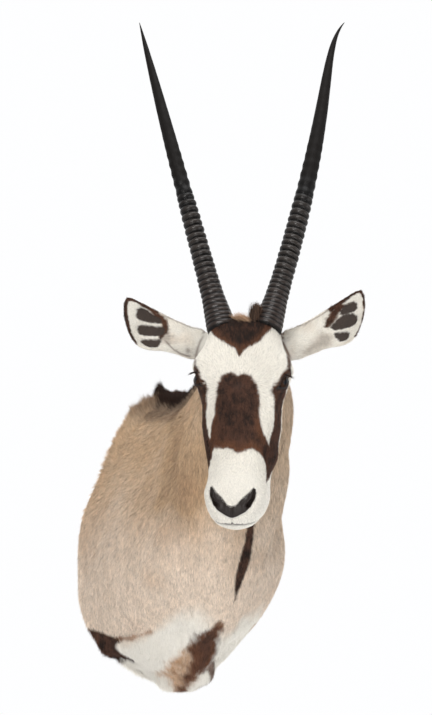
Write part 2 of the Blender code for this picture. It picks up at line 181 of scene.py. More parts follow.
def relax(points, edges, weight, rounds):
    # evens out the skin where weight is above 0
    a, b = edges.T
    count = len(points)
    degree = np.bincount(edges.ravel(), minlength=count)[:, None]
    for _ in range(rounds):
        sums = [np.bincount(a, points[b, k], count) + np.bincount(b, points[a, k], count) for k in range(3)]
        points = points + (np.stack(sums, 1) / degree - points) * weight[:, None] * 0.6
    return points


def treeOf(mesh):
    shape = bmesh.new()
    shape.from_mesh(mesh)
    tree = BVHTree.FromBMesh(shape)
    shape.free()
    return tree


def awayFrom(tree, points):
    return np.array([tree.find_nearest(p)[3] for p in points.tolist()])


def show(piece, material, nodes=()):
    # every piece rides on the one body
    piece.data.materials.clear()
    piece.data.materials.append(material)
    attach(piece, "root")
    if nodes:
        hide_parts(*nodes)
    print(f"{piece.name}: {len(piece.data.polygons)} faces")
    return piece


# Shader maths

class Wire:
    # one output of a shader node, so that the maths of a material reads as plain expressions
    def __init__(self, paint, socket):
        self.paint = paint
        self.socket = socket

    def maths(self, operation, *values):
        return self.paint.node("Math", {"operation": operation}, dict(enumerate(values)))

    def __add__(self, other):
        return self.maths("ADD", self, other)

    def __sub__(self, other):
        return self.maths("SUBTRACT", self, other)

    def __rsub__(self, other):
        return self.maths("SUBTRACT", other, self)

    def __mul__(self, other):
        return self.maths("MULTIPLY", self, other)

    def __truediv__(self, other):
        return self.maths("DIVIDE", self, other)

    def __pow__(self, other):
        return self.maths("POWER", self, other)

    __radd__ = __add__
    __rmul__ = __mul__


class Paint:
    # a material under construction
    def __init__(self, name):
        self.material = bpy.data.materials.new(name)
        self.material.use_nodes = True
        self.tree = self.material.node_tree
        self.shader = self.tree.nodes["Principled BSDF"]

    def node(self, kind, settings=None, sockets=None, output=0):
        made = self.tree.nodes.new("ShaderNode" + kind)
        for name, value in (settings or {}).items():
            if name == "stops":
                ramp = made.color_ramp.elements
                while len(ramp) < len(value):
                    ramp.new(1)
                for stop, (place, colour) in zip(ramp, value):
                    stop.position, stop.color = place, (*colour, 1)
            else:
                setattr(made, name, value)
        for key, value in (sockets or {}).items():
            self.connect(made.inputs[key], value)
        return Wire(self, made.outputs[output])

    def connect(self, socket, value):
        if isinstance(value, Wire):
            self.tree.links.new(value.socket, socket)
        else:
            socket.default_value = value

    def blend(self, share, first, second, how="MIX"):
        first, second = (c if isinstance(c, Wire) else (*c, 1) for c in (first, second))
        return self.node("Mix", {"data_type": "RGBA", "blend_type": how}, {0: share, 6: first, 7: second}, 2)

    def span(self, value, low, high, newLow=0.0, newHigh=1.0):
        return self.node("MapRange", {}, {"Value": value, 1: low, 2: high, 3: newLow, 4: newHigh})

    def split(self, name):
        # the four numbers that a mesh carries under this name
        found = self.node("Attribute", {"attribute_name": name}, {}, "Color")
        parts = [self.node("SeparateColor", {}, {0: found}, k) for k in range(3)]
        alpha = found.socket.node.outputs["Alpha"]
        return [*parts, Wire(self, alpha)]

    def place(self, stretch=(1, 1, 1)):
        # the object's own metres, stretched by a factor for each axis
        at = self.node("TexCoord", {}, {}, "Object")
        return self.node("VectorMath", {"operation": "MULTIPLY"}, {0: at, 1: stretch})

    def noise(self, stretch, scale, detail=3.0, roughness=0.55):
        sockets = {"Vector": self.place(stretch), "Scale": scale, "Detail": detail, "Roughness": roughness}
        return self.node("TexNoise", {}, sockets)

    def bump(self, height, strength, distance):
        return self.node("Bump", {}, {"Height": height, "Strength": strength, "Distance": distance})

    def finish(self, sockets):
        for name, value in sockets.items():
            if isinstance(value, tuple) and len(value) == 3:
                value = (*value, 1)
            self.connect(self.shader.inputs[name], value)
        return self.material


def colour(red, green, blue):
    # a colour as a screen shows it, 0 to 255, turned into the light that it gives off
    return tuple(((c / 255 + 0.055) / 1.055) ** 2.4 if c > 10 else c / 3295 for c in (red, green, blue))


coatColours = {
    "lowFawn": colour(229, 213, 196),
    "highFawn": colour(204, 174, 139),
    "grey": colour(206, 194, 180),
    "white": colour(240, 236, 227),
    "rust": colour(180, 126, 80),
    "brown": colour(126, 82, 55),
    "dark": colour(90, 61, 48),
    "darkest": colour(37, 27, 23),
    "smoke": colour(72, 64, 59),
    "skin": colour(25, 21, 19),
}


def coatMaterial(name, strands):
    # short hair, or the skin under it; coat holds dark, white, rust and bare skin, which on a hair
    # means nearly black, and strand holds tone, grey, place along the hair and its random number
    paint = Paint(name)
    dark, white, rust, bare = paint.split("coat")
    tone, grey, along, chance = paint.split("strand")
    shades = coatColours
    cloud = paint.noise((1, 1, 0.6), 14.0, 2.0)
    patches = paint.noise((1, 1, 0.6), 80.0, 3.0, 0.6)
    streak = paint.noise((1, 1, 0.28), 300.0, 4.0, 0.7)
    fawn = paint.blend(tone + (cloud - 0.5) * 0.35 + (patches - 0.5) * 0.2, shades["lowFawn"], shades["highFawn"])
    fawn = paint.blend(grey, fawn, shades["grey"])
    fawn = paint.blend(rust, fawn, shades["rust"])
    mottle = (cloud - 0.5) * 0.9 + (patches - 0.5) * 2.0 + (streak - 0.5) * 1.6 + chance * 0.5 + along * 0.35
    mottle = mottle + (tone - 0.5) * 0.7
    mottle = paint.span(mottle, 0.05, 0.80)
    deep = paint.blend(mottle, shades["darkest"], shades["dark"])
    deep = paint.blend(rust * (0.4 + chance * 0.6), deep, shades["brown"])
    deep = paint.blend(grey, deep, shades["smoke"])
    if strands:
        deep = paint.blend(bare, deep, shades["darkest"])
    mixed = paint.blend(white, fawn, shades["white"])
    mixed = paint.blend(dark, mixed, deep)
    swing = 1 - white * 0.84
    uneven = (streak - 0.5) * 0.82 + (patches - 0.5) * 0.60 + (chance - 0.5) * 0.44
    light = 0.82 + uneven * swing + along * 0.22
    if not strands:
        light = light * 0.78
    mixed = paint.blend(1.0, mixed, paint.node("CombineColor", {}, {0: light, 1: light, 2: light}), "MULTIPLY")
    if strands:
        return paint.finish({
            "Base Color": mixed, "Roughness": paint.span(chance, 0.0, 1.0, 0.5, 0.68),
            "Specular IOR Level": 0.12,
        })
    pores = paint.node("TexVoronoi", {"feature": "F1"}, {"Vector": paint.place(), "Scale": 520.0})
    fold = paint.noise((1, 1, 1), 160.0, 3.0)
    mixed = paint.blend(bare, mixed, paint.blend(fold, shades["darkest"], shades["skin"]))
    return paint.finish({
        "Base Color": mixed,
        "Roughness": paint.span(bare + (fold - 0.5) * 0.3, 0, 1, 0.8, 0.34),
        "Specular IOR Level": 0.2,
        "Coat Weight": bare * 0.10,
        "Coat Roughness": 0.2,
        "Normal": paint.bump(pores * 0.6 + fold, 0.35, 0.0008),
    })


hairMaterial = coatMaterial("shortHair", True)
skinMaterial = coatMaterial("hairSkin", False)


# Trunk and head: the same shapes as the solid, drawn finer

trunk = {
    # nape y and z, throat y and z, half width at six even steps between them
    "rows": (
        (-0.0183, 0.284, -0.0183, -0.284, 0.172, 0.168, 0.194, 0.204, 0.212, 0.155),
        (-0.068, 0.283, -0.115, -0.290, 0.120, 0.148, 0.180, 0.190, 0.168, 0.078),
        (-0.128, 0.288, -0.215, -0.228, 0.085, 0.122, 0.156, 0.177, 0.158, 0.078),
        (-0.188, 0.306, -0.300, -0.135, 0.074, 0.106, 0.126, 0.143, 0.151, 0.086),
        (-0.245, 0.334, -0.355, -0.040, 0.070, 0.098, 0.112, 0.116, 0.122, 0.090),
        (-0.300, 0.362, -0.385, 0.050, 0.070, 0.095, 0.108, 0.110, 0.108, 0.088),
        (-0.350, 0.388, -0.405, 0.125, 0.066, 0.090, 0.103, 0.106, 0.101, 0.082),
        (-0.395, 0.405, -0.420, 0.190, 0.058, 0.080, 0.095, 0.098, 0.092, 0.076),
        (-0.430, 0.410, -0.440, 0.245, 0.046, 0.060, 0.070, 0.070, 0.066, 0.056),
    ),
    "cuts": 90,
    "sidePoints": 70,
    "roundness": 0.8,
}

head = {
    "top": np.array((-0.0535, -0.518, 0.447)),  # between the horns, on the plane of the face
    "turn": math.radians(29),
    "lean": math.radians(13),
    "roll": math.radians(1.9),
    # distance down the face, half width, front, back and widest depth, narrowing jaw, squareness
    "rows": (
        (-0.026, 0.034, -0.078, -0.120, -0.098, 0.20, 0.90),
        (-0.014, 0.052, -0.038, -0.138, -0.090, 0.25, 0.80),
        (0.004, 0.063, -0.010, -0.152, -0.080, 0.30, 0.72),
        (0.040, 0.074, -0.001, -0.170, -0.075, 0.35, 0.68),
        (0.080, 0.090, 0.001, -0.184, -0.058, 0.42, 0.80),
        (0.112, 0.082, 0.001, -0.190, -0.056, 0.42, 0.86),
        (0.145, 0.070, 0.000, -0.186, -0.076, 0.20, 0.72),
        (0.180, 0.068, 0.000, -0.172, -0.090, 0.16, 0.74),
        (0.215, 0.063, 0.000, -0.157, -0.096, 0.12, 0.80),
        (0.250, 0.057, 0.001, -0.140, -0.094, 0.10, 0.84),
        (0.285, 0.0555, 0.002, -0.122, -0.064, 0.12, 0.72),
        (0.310, 0.057, 0.002, -0.112, -0.050, 0.12, 0.68),
        (0.330, 0.052, -0.002, -0.104, -0.050, 0.10, 0.70),
        (0.345, 0.043, -0.010, -0.096, -0.052, 0.08, 0.76),
        (0.357, 0.030, -0.022, -0.086, -0.054, 0.05, 0.84),
        (0.364, 0.012, -0.040, -0.070, -0.055, 0.00, 0.95),
    ),
    "cuts": 110,
    "points": 110,
    "girthRadius": 0.065,  # turns an angle round the head into metres
}

skin = {
    "voxel": 0.0041,
    "bodyInset": 0.0045,  # the hair stands this far above the skin
    "faceInset": 0.0022,
    "joinReach": 0.030,
}


def trunkRings(numbers, sidePoints):
    rings = []
    for row in spline(trunk["rows"], numbers):
        nape, throat, widths = row[0:2], row[2:4], row[4:]
        angle = np.linspace(0, math.pi, sidePoints)
        share = (1 - np.cos(angle)) / 2
        half = spline(widths, share * (len(widths) - 1))[:, 0] * np.sin(angle) ** trunk["roundness"]
        half[[0, -1]] = 0
        line = nape + (throat - nape) * share[:, None]
        left = np.column_stack([half, line])
        rings.append(np.vstack([left, np.column_stack([-half, line])[-2:0:-1]]))
    return np.array(rings)


def headAxes():
    # across to the animal's left, down the face, and out of the face
    turn, lean = head["turn"], head["lean"]
    up = np.array((0, 0, 1.0))
    ahead = np.array((-math.sin(turn), -math.cos(turn), 0))
    across = np.array((math.cos(turn), -math.sin(turn), 0))
    down = ahead * math.sin(lean) - up * math.cos(lean)
    out = ahead * math.cos(lean) + up * math.sin(lean)
    roll = np.array(Matrix.Rotation(-head["roll"], 3, Vector(out)))
    return np.array((roll @ across, roll @ down, out))


headFrame = headAxes()


def fromHead(places):
    return head["top"] + np.asarray(places, float) @ headFrame


def toHead(points):
    return (np.asarray(points) - head["top"]) @ headFrame.T


def headRings():
    rings = []
    angle = np.linspace(0, 2 * math.pi, head["points"], endpoint=False)
    side, forward = np.sin(angle), np.cos(angle)
    for down, half, front, back, widest, narrowing, square in spline(
        head["rows"], np.linspace(0, len(head["rows"]) - 1, head["cuts"])
    ):
        reach = np.abs(forward) ** square
        across = half * np.copysign(np.abs(side) ** square, side)
        depth = np.where(forward > 0, widest + (front - widest) * reach, widest + (back - widest) * reach)
        across = np.where(forward > 0, across, across * (1 - narrowing * reach))
        rings.append(fromHead(np.column_stack([across, np.full(len(angle), down), depth])))
    return np.array(rings)


def girthOf(places):
    # how far round the head a place lies from the middle of the face, in metres
    rows = np.array(head["rows"])
    widest = np.interp(places[:, 1], rows[:, 0], rows[:, 4])
    return np.arctan2(places[:, 0], places[:, 2] - widest) * head["girthRadius"]


# Markings

faceMarks = {
    # outlines as girth from the middle of the face, towards the animal's left, and distance down
    "foreheadPatch": (
        (-0.068, -0.004), (-0.062, 0.014), (-0.046, 0.024), (-0.034, 0.038), (-0.0205, 0.051),
        (-0.0105, 0.056), (-0.0018, 0.070), (0.0075, 0.056), (0.0160, 0.051), (0.029, 0.038),
        (0.040, 0.020), (0.058, 0.000), (0.062, -0.040), (-0.070, -0.040),
    ),
    "blaze": (
        (-0.0322, 0.1055), (-0.0150, 0.0975), (-0.0020, 0.1040), (0.0100, 0.0985), (0.0231, 0.1048),
        (0.0335, 0.1163), (0.0325, 0.1438), (0.0300, 0.1620), (0.0300, 0.1780), (0.0340, 0.1930),
        (0.0405, 0.2055), (0.0500, 0.2150), (0.0640, 0.2180), (0.0680, 0.2500), (0.0590, 0.2620),
        (0.0515, 0.2500), (0.0440, 0.2410), (0.0345, 0.2330), (0.0262, 0.2285), (0.0205, 0.2270),
        (0.0040, 0.2361), (-0.0081, 0.2304), (-0.0294, 0.2265), (-0.0350, 0.2320), (-0.0370, 0.2450),
        (-0.0520, 0.2450), (-0.0520, 0.2160), (-0.0405, 0.2130), (-0.0355, 0.2064), (-0.0314, 0.1706),
        (-0.0327, 0.1412), (-0.0378, 0.1167),
    ),
    "leftStripe": (
        (0.0730, 0.0880), (0.0654, 0.1053), (0.0589, 0.1231), (0.0587, 0.1391), (0.0599, 0.1682),
        (0.0568, 0.1975), (0.0530, 0.2150), (0.0575, 0.2450), (0.0670, 0.2810), (0.0860, 0.2680),
        (0.1080, 0.2470), (0.1110, 0.2330), (0.0980, 0.2100), (0.0960, 0.1700), (0.0990, 0.1380),
        (0.0970, 0.1100), (0.0900, 0.0860),
    ),
    "rightStripe": (
        (-0.0730, 0.0900), (-0.0622, 0.1135), (-0.0552, 0.1275), (-0.0542, 0.1439), (-0.0515, 0.1643),
        (-0.0459, 0.1889), (-0.0395, 0.2110), (-0.0390, 0.2440), (-0.0500, 0.2570), (-0.0860, 0.2600),
        (-0.1080, 0.2470), (-0.1110, 0.2330), (-0.0980, 0.2100), (-0.0940, 0.1700), (-0.0950, 0.1380),
        (-0.0950, 0.1100), (-0.0900, 0.0860),
    ),
    # thin lines beside the roots of the ears as across and down, and how dark each is
    "browLines": (
        (((-0.079, -0.006), (-0.0795, 0.012), (-0.083, 0.027), (-0.088, 0.041), (-0.092, 0.050), (-0.089, 0.060),
          (-0.083, 0.072), (-0.080, 0.088)), 0.62),
        (((0.0635, -0.004), (0.0645, 0.014), (0.0675, 0.027), (0.072, 0.036), (0.0752, 0.043), (0.0775, 0.050),
          (0.0805, 0.062), (0.0825, 0.071), (0.083, 0.082)), 0.95),
    ),
    "whiteEdge": 0.106,  # the white of the face ends this far round
    "muzzleTop": 0.236,  # below this the white goes all the way round
}

nose = {
    # half of the bare pad's outline, across and down
    "pad": (
        (0.0000, 0.3300), (0.0070, 0.3285), (0.0175, 0.3160), (0.0280, 0.3060), (0.0352, 0.2965),
        (0.0390, 0.2990), (0.0396, 0.3135), (0.0325, 0.3295), (0.0215, 0.3400), (0.0095, 0.3465),
        (0.0000, 0.3500),
    ),
    "nostril": ((0.0372, 0.3050), (0.0352, 0.3170), (0.0270, 0.3285)),
    "nostrilHalf": 0.0026,
    "nostrilDepth": 0.009,
    # out of the face and down, from the front to the corner of the mouth
    "mouth": ((-0.020, 0.3590), (-0.032, 0.3580), (-0.055, 0.3470), (-0.074, 0.3330), (-0.088, 0.3200)),
    "mouthHalf": 0.0020,
    "mouthDepth": 0.0024,
}

bodyMarks = {
    # the white of the chest ends above at these heights, for each place across
    "whiteTop": (
        (-0.22, -0.225), (-0.150, -0.200), (-0.127, -0.184), (-0.110, -0.160), (-0.097, -0.130),
        (-0.080, -0.108), (-0.055, -0.103), (-0.030, -0.118), (-0.005, -0.140), (0.015, -0.165),
        (0.032, -0.140), (0.060, -0.122), (0.095, -0.116), (0.13, -0.150), (0.22, -0.215),
    ),
    # out from the wall and height, on the upper foreleg
    "elbow": (
        (0.02, -0.160), (-0.036, -0.166), (-0.059, -0.169), (-0.080, -0.173), (-0.095, -0.1755), (-0.094, -0.181),
        (-0.079, -0.186), (-0.068, -0.197), (-0.067, -0.206), (-0.071, -0.213), (-0.064, -0.224), (-0.052, -0.232),
        (-0.020, -0.237), (0.02, -0.242),
    ),
    "elbowLine": ((-0.090, -0.176), (-0.138, -0.169), (-0.163, -0.159), (-0.186, -0.152), (-0.201, -0.146)),
    # across and height, on the chest
    "chestStreak": (
        (-0.014, -0.116), (-0.024, -0.127), (-0.033, -0.138), (-0.040, -0.149), (-0.043, -0.164),
        (-0.044, -0.180), (-0.038, -0.201), (-0.035, -0.222), (-0.032, -0.243), (-0.027, -0.268),
        (-0.020, -0.292), (-0.011, -0.288), (-0.018, -0.263), (-0.018, -0.247), (-0.015, -0.230),
        (-0.006, -0.225), (0.000, -0.215), (0.006, -0.204), (0.005, -0.190), (-0.001, -0.170),
        (-0.004, -0.148), (-0.006, -0.124),
    ),
    "chestTan": (
        (-0.044, -0.170), (-0.053, -0.186), (-0.058, -0.201), (-0.062, -0.215), (-0.061, -0.232),
        (-0.055, -0.248), (-0.045, -0.262), (-0.033, -0.277), (-0.022, -0.295), (-0.012, -0.295),
        (-0.016, -0.240), (-0.020, -0.200), (-0.034, -0.168),
    ),
    "chestSpot": (-0.049, -0.161, -0.239),
    # painted shade between neck and shoulder as out from the wall and height, and a painted line of shade in a crease
    # as across and height
    "neckFoldShade": ((-0.21, 0.268), (-0.25, 0.245), (-0.285, 0.215), (-0.295, 0.180), (-0.29, 0.150), (-0.27, 0.105)),
    "neckCreaseShade": ((0.078, 0.228), (0.0735, 0.213), (0.070, 0.197)),
    # brown strip down the left side of the breast's lobe
    "lobeEdge": (
        (0.002, -0.204), (0.012, -0.203), (0.018, -0.221), (0.027, -0.238), (0.031, -0.256),
        (0.025, -0.275), (0.018, -0.275), (0.022, -0.256), (0.014, -0.238), (0.006, -0.227), (-0.004, -0.224),
    ),
    "throatTop": 0.23,
    # height, middle and half width of the stripe down the throat
    "throat": (
        (-0.076, 0.006, 0.0), (-0.055, 0.007, 0.0042), (-0.028, 0.009, 0.0092), (0.0, 0.0145, 0.0112),
        (0.020, 0.017, 0.0102), (0.041, 0.019, 0.0082), (0.066, 0.018, 0.0078),
    ),
}


def edge(depth, soft=0.0016):
    return ease(-soft, soft, depth)


def browAt(places):
    dark = np.zeros(len(places))
    half = 0.0010 + 0.0018 * ease(0.0, 0.075, places[:, 1])
    for path, strength in faceMarks["browLines"]:
        off, _ = toPath(path, places[:, 0], places[:, 1])
        dark = np.maximum(dark, strength * edge(half - off, 0.0012))
    return dark * (places[:, 2] > -0.125)


def coatAt(points, headShare, spread=1.0):
    # dark, white, rust, tone and grey for places on the hide; spread roughens the edges
    wobble = grain(points, 0.0060, 3) * 0.0016 + grain(points, 0.017, 4) * 0.0016
    wobble = wobble * spread
    places = toHead(points)
    girth, down = girthOf(places), places[:, 1]
    depth = np.full(len(points), -1.0)
    for mark in ("foreheadPatch", "blaze", "leftStripe", "rightStripe"):
        depth = np.maximum(depth, inside(faceMarks[mark], girth, down))
    dark = edge(depth + wobble + 0.0004)
    # paler towards the edge, and more so at the foot of the blaze
    low = ease(0.150, 0.225, down) * ease(0.045, 0.030, np.abs(girth))
    high = ease(0.075, 0.055, down)
    faceRust = ease(0.006 + 0.016 * low + 0.009 * high, 0.0, depth + wobble * 2)
    faceRust = faceRust * (0.42 + 0.40 * low + 0.14 * high) * ease(-0.01, 0.03, down)
    faceRust = faceRust * ease(-0.0035, -0.001, depth)
    core = ease(0.003, 0.014, inside(faceMarks["foreheadPatch"], girth, down) + wobble)
    dark = np.maximum.reduce((dark, browAt(places), eyeShade(places)))
    white = edge(faceMarks["whiteEdge"] - np.abs(girth) + wobble * 2, 0.006)
    white = np.maximum(white, ease(-0.012, 0.012, down - faceMarks["muzzleTop"] + wobble * 2))
    white = white * ease(-0.035, 0.0, down)
    x, y, z = points.T
    slow = grain(points, 0.045, 6)
    top = np.interp(x, *np.array(bodyMarks["whiteTop"]).T)
    bodyWhite = ease(-0.034, 0.022, top - z + slow * 0.010 + wobble * 3)
    elbow = edge(inside(bodyMarks["elbow"], y, z) + wobble * 1.2, 0.0026) * (np.abs(x) > 0.085)
    breast = ease(-0.02, -0.10, y)
    streakDepth = inside(bodyMarks["chestStreak"], x + slow * 0.002, z) + wobble * 3
    streak = edge(streakDepth + 0.001, 0.0085) * breast
    lobe = edge(inside(bodyMarks["lobeEdge"], x, z) + wobble, 0.003) * breast * 0.85
    spot = 0.7 * blob(points, bodyMarks["chestSpot"], 0.0055)
    heights, middles, halves = np.array(bodyMarks["throat"]).T
    middle, half = np.interp(z, heights, middles), np.interp(z, heights, halves)
    throat = edge(half - np.abs(x - middle) + wobble * 0.8, 0.0026) * (z < bodyMarks["throatTop"])
    throat = throat * ease(-0.25, -0.30, y) * (half > 0)
    bodyDark = np.maximum.reduce((elbow, streak, throat, lobe, spot))
    tan = edge(inside(bodyMarks["chestTan"], x, z) + wobble * 3 + 0.002, 0.009)
    tan = tan * breast * (0.86 + 0.14 * grain(points, 0.009, 9))
    line, _ = toPath(bodyMarks["elbowLine"], y, z)
    line = edge(0.0024 - line + wobble * 2, 0.0034) * (np.abs(x) > 0.085)
    rust = np.maximum(tan * 0.55, line * 0.62)
    bodyDark = np.maximum(bodyDark, line * (0.16 + 0.6 * ease(-0.150, -0.100, y)))
    rim = ease(0.012, 0.002, streakDepth) * streak * 0.8
    bodyRust = np.maximum.reduce((rust, rim, lobe, streak * ease(-0.020, 0.004, x) * 0.9))
    # painted shadow of the head on the neck's right side, under the jaw, which makes the coat browner and darker there
    shade = blob(points, (-0.100, -0.365, 0.130), (0.030, 0.06, 0.070))
    tone = ease(-0.10, 0.24, z + slow * 0.06) * 0.9
    # browner where the painted shadow under the jaw falls and in the hollow between neck and shoulder, as painted shade
    tone = tone + 0.8 * shade + 0.5 * blob(points, (-0.105, -0.290, 0.190), (0.020, 0.05, 0.08))
    tone = tone - 0.35 * blob(points, (-0.105, -0.350, 0.040), (0.03, 0.06, 0.05))
    # painted shade along the fold between neck and shoulder, browner and darker
    fold, _ = toPath(bodyMarks["neckFoldShade"], y, z)
    fold = np.exp(-((fold / 0.020) ** 2)) * ease(-0.02, -0.06, x)
    saddle = ease(0.242, 0.264, z) * ease(-0.24, -0.20, y) * (1 - headShare)
    tone = tone + 0.3 * fold + tan
    bodyRust = np.maximum(bodyRust, 0.12 * shade + 0.08 * np.clip(slow, 0, 1))
    bodyDark = np.maximum(bodyDark, 0.22 * shade + 0.17 * fold)
    bodyDark = np.maximum(bodyDark, saddle * np.clip(0.58 + 0.26 * grain(points, 0.006, 15), 0, 1))
    # a thin dark line painted as shade in the crease on the neck's right side
    crease, _ = toPath(bodyMarks["neckCreaseShade"], x, z)
    bodyDark = np.maximum(bodyDark, 0.7 * edge(0.0012 - crease, 0.0014) * (y < -0.3))
    grey = 0.28 * ease(-0.02, 0.09, x) * ease(-0.16, 0.05, z) * (1 - headShare) + 0.10
    keep = 1 - headShare
    # where the coat is dark, tone says how brown it is
    inked = np.clip(dark * headShare + np.maximum(streak, elbow) * keep, 0, 1)
    inkTone = (0.55 - 0.55 * core + 0.35 * low) * headShare + (0.5 + 0.35 * streak) * keep
    return (
        dark * headShare + bodyDark * keep,
        np.clip(white * headShare + bodyWhite * (1 - np.maximum(rust, tan)) * keep, 0, 1),
        np.clip(bodyRust * keep + faceRust * headShare, 0, 1),
        np.clip(tone, 0, 1) * (1 - inked) + inkTone * inked,
        np.clip(grey, 0, 1),
    )


# The skin: trunk and head fused, then worked like clay

horns = {
    # base, tip, sideways bow of the middle and hook of the tip
    "right_horn": ((-0.077, -0.464, 0.452), (-0.115, -0.148, 1.032), -0.002, 0.000),
    "left_horn": ((0.005, -0.509, 0.452), (0.256, -0.298, 1.032), 0.008, 0.028),
}

eye = {
    "radius": 0.018,
    "across": 0.0640,
    "down": 0.106,
    "out": -0.034,
    "gaze": (0.86, -0.02, 0.50),
    "long": (-0.15, 0.72, 0.66),  # from the back corner to the front one
    "halfLength": 0.86,  # in shares of the radius
    "upperOpen": 0.46,
    "lowerOpen": 0.40,
    "lid": 0.0021,
}


def eyeFrame(side):
    # centre, gaze, long axis and up, in the head's axes
    mirror = np.array((side, 1, 1))
    gaze = unit(np.array(eye["gaze"]) * mirror)
    long = np.array(eye["long"]) * mirror
    long = unit(long - gaze * (long @ gaze))
    up = np.cross(long, gaze)
    up = up if up[1] < 0 else -up
    return np.array((side * eye["across"], eye["down"], eye["out"])), gaze, long, up


def openingOf(x, y):
    # below 0 between the lids
    room = np.where(y > 0, eye["upperOpen"], eye["lowerOpen"])
    return np.abs(y) - room * np.clip(1 - (x / eye["halfLength"]) ** 2, -1, 1)


def eyeShade(places):
    # the dark spindle of short hair round each eye
    shade = np.zeros(len(places))
    for side in (-1, 1):
        centre, gaze, long, up = eyeFrame(side)
        arm = places - centre
        radius = np.linalg.norm(arm, axis=1)
        x, y, facing = (arm @ v / radius for v in (long, up, gaze))
        spindle = 0.74 * (1 - (x / 1.15) ** 2) - np.abs(y)
        shade = np.maximum(shade, ease(-0.04, 0.08, spindle) * (radius < 0.034) * ease(-0.1, 0.1, facing))
    return shade


def shapeLids(places):
    # the lids wrap the glass, and the skin between them drops behind it
    bare = np.zeros(len(places))
    for side in (-1, 1):
        centre, gaze, long, up = eyeFrame(side)
        arm = places - centre
        radius = np.linalg.norm(arm, axis=1)
        x, y, facing = (arm @ v / radius for v in (long, up, gaze))
        gap = openingOf(x, y)
        near = ease(0.040, 0.028, radius) * ease(-0.05, 0.25, facing)
        lid = eye["radius"] + eye["lid"]
        target = lid - (eye["lid"] + 0.004) * ease(0.02, -0.10, gap)
        pull = near * ease(0.75, 0.15, gap)
        places = places + arm / radius[:, None] * ((target - radius) * pull)[:, None]
        bare = np.maximum(bare, near * ease(0.20, 0.06, gap))
        # a fold above the lid and the pit of the tear gland below the front corner
        rim = ease(0.20, 0.34, gap) * ease(0.62, 0.40, gap) * near * (y > 0)
        places = places + arm / radius[:, None] * (rim * 0.0022)[:, None]
    return places, bare


faceRelief = (
    # place beside the middle line, reach and height of each swelling or hollow, in the head's axes
    ((0.078, 0.080, -0.030), (0.018, 0.014, 0.026), 0.0030),  # brow
    ((0.072, 0.034, -0.062), (0.016, 0.020, 0.030), -0.0035),  # temple
    ((0.052, 0.140, -0.012), (0.010, 0.028, 0.016), -0.0035),  # below the eye's front corner
    ((0.064, 0.165, -0.100), (0.020, 0.050, 0.034), 0.0045),  # cheek muscle
    ((0.058, 0.205, -0.050), (0.020, 0.030, 0.020), -0.0020),  # hollow ahead of it
    ((0.046, 0.300, -0.016), (0.016, 0.018, 0.016), 0.0020),  # wing of the nose
    ((0.000, 0.200, 0.000), (0.018, 0.070, 0.020), 0.0016),  # bridge
    ((0.030, 0.062, 0.000), (0.022, 0.020, 0.020), 0.0015),  # forehead
)

faceOddities = (
    # the same on one side only
    ((0.066, 0.232, -0.085), (0.018, 0.020, 0.034), 0.007),  # dark hair at the jaw's left corner
    ((0.056, 0.300, -0.065), (0.022, 0.042, 0.036), 0.005),  # the muzzle stands a little to the left
    ((-0.056, 0.300, -0.055), (0.022, 0.044, 0.036), -0.006),
    ((0.000, -0.020, -0.070), (0.036, 0.022, 0.050), -0.008),  # dip between the horns
)

bodyRelief = (
    # place, reach and height
    ((-0.098, -0.350, 0.245), (0.030, 0.050, 0.050), -0.006),  # behind the jaw, right side
    ((-0.100, -0.300, 0.190), (0.022, 0.045, 0.075), -0.011),  # between neck and shoulder
    ((-0.112, -0.262, 0.110), (0.020, 0.045, 0.065), -0.007),
    ((-0.105, -0.365, 0.180), (0.024, 0.030, 0.090), 0.006),  # side of the neck
    ((-0.165, -0.150, 0.080), (0.050, 0.080, 0.110), 0.007),  # shoulder
    ((-0.165, -0.120, -0.090), (0.050, 0.080, 0.070), 0.006),
    ((0.105, -0.340, 0.040), (0.025, 0.060, 0.030), -0.009),
    ((0.108, -0.345, 0.150), (0.026, 0.060, 0.055), 0.007),  # left side of the neck
    ((-0.094, -0.372, 0.300), (0.022, 0.035, 0.025), -0.008),
    ((-0.112, -0.040, -0.236), (0.020, 0.050, 0.018), -0.007),  # belly's edge
    ((-0.075, -0.050, -0.262), (0.022, 0.050, 0.018), -0.006),
    ((-0.040, -0.085, -0.284), (0.018, 0.050, 0.018), 0.008),
    ((0.090, -0.170, -0.190), (0.030, 0.060, 0.035), -0.009),  # below the left shoulder
    ((0.150, -0.200, 0.060), (0.050, 0.090, 0.120), 0.006),
    ((0.000, -0.330, -0.080), (0.040, 0.060, 0.050), 0.006),  # breast
    ((-0.070, -0.255, -0.160), (0.022, 0.050, 0.030), -0.006),
    ((0.050, -0.290, -0.125), (0.016, 0.040, 0.018), -0.007),  # crease right of the breast
    ((-0.020, -0.220, -0.215), (0.020, 0.060, 0.050), 0.004),
    ((0.050, -0.165, -0.225), (0.026, 0.070, 0.050), -0.014),  # left of the breast's tuft
    ((-0.075, -0.110, -0.262), (0.030, 0.050, 0.030), -0.007),
    ((-0.112, -0.285, 0.235), (0.018, 0.040, 0.050), -0.006),
    ((0.090, -0.380, 0.200), (0.020, 0.030, 0.020), -0.004),  # crease across the neck, left side
    ((-0.084, -0.330, 0.306), (0.030, 0.050, 0.032), -0.013),  # top of the neck's right side
    ((-0.086, -0.285, 0.264), (0.030, 0.050, 0.036), -0.015),
    ((-0.150, -0.030, -0.215), (0.030, 0.050, 0.026), 0.009),  # above the foreleg
    ((-0.055, -0.120, 0.262), (0.040, 0.070, 0.030), 0.007),  # between withers and shoulder
    ((-0.070, -0.200, 0.245), (0.035, 0.050, 0.030), 0.008),
    ((0.018, -0.190, -0.252), (0.020, 0.045, 0.022), 0.009),  # lobe of the breast
    ((0.050, -0.225, -0.196), (0.022, 0.050, 0.026), -0.015),
    ((0.016, -0.278, -0.158), (0.006, 0.040, 0.028), -0.006),  # crease beside the streak
)


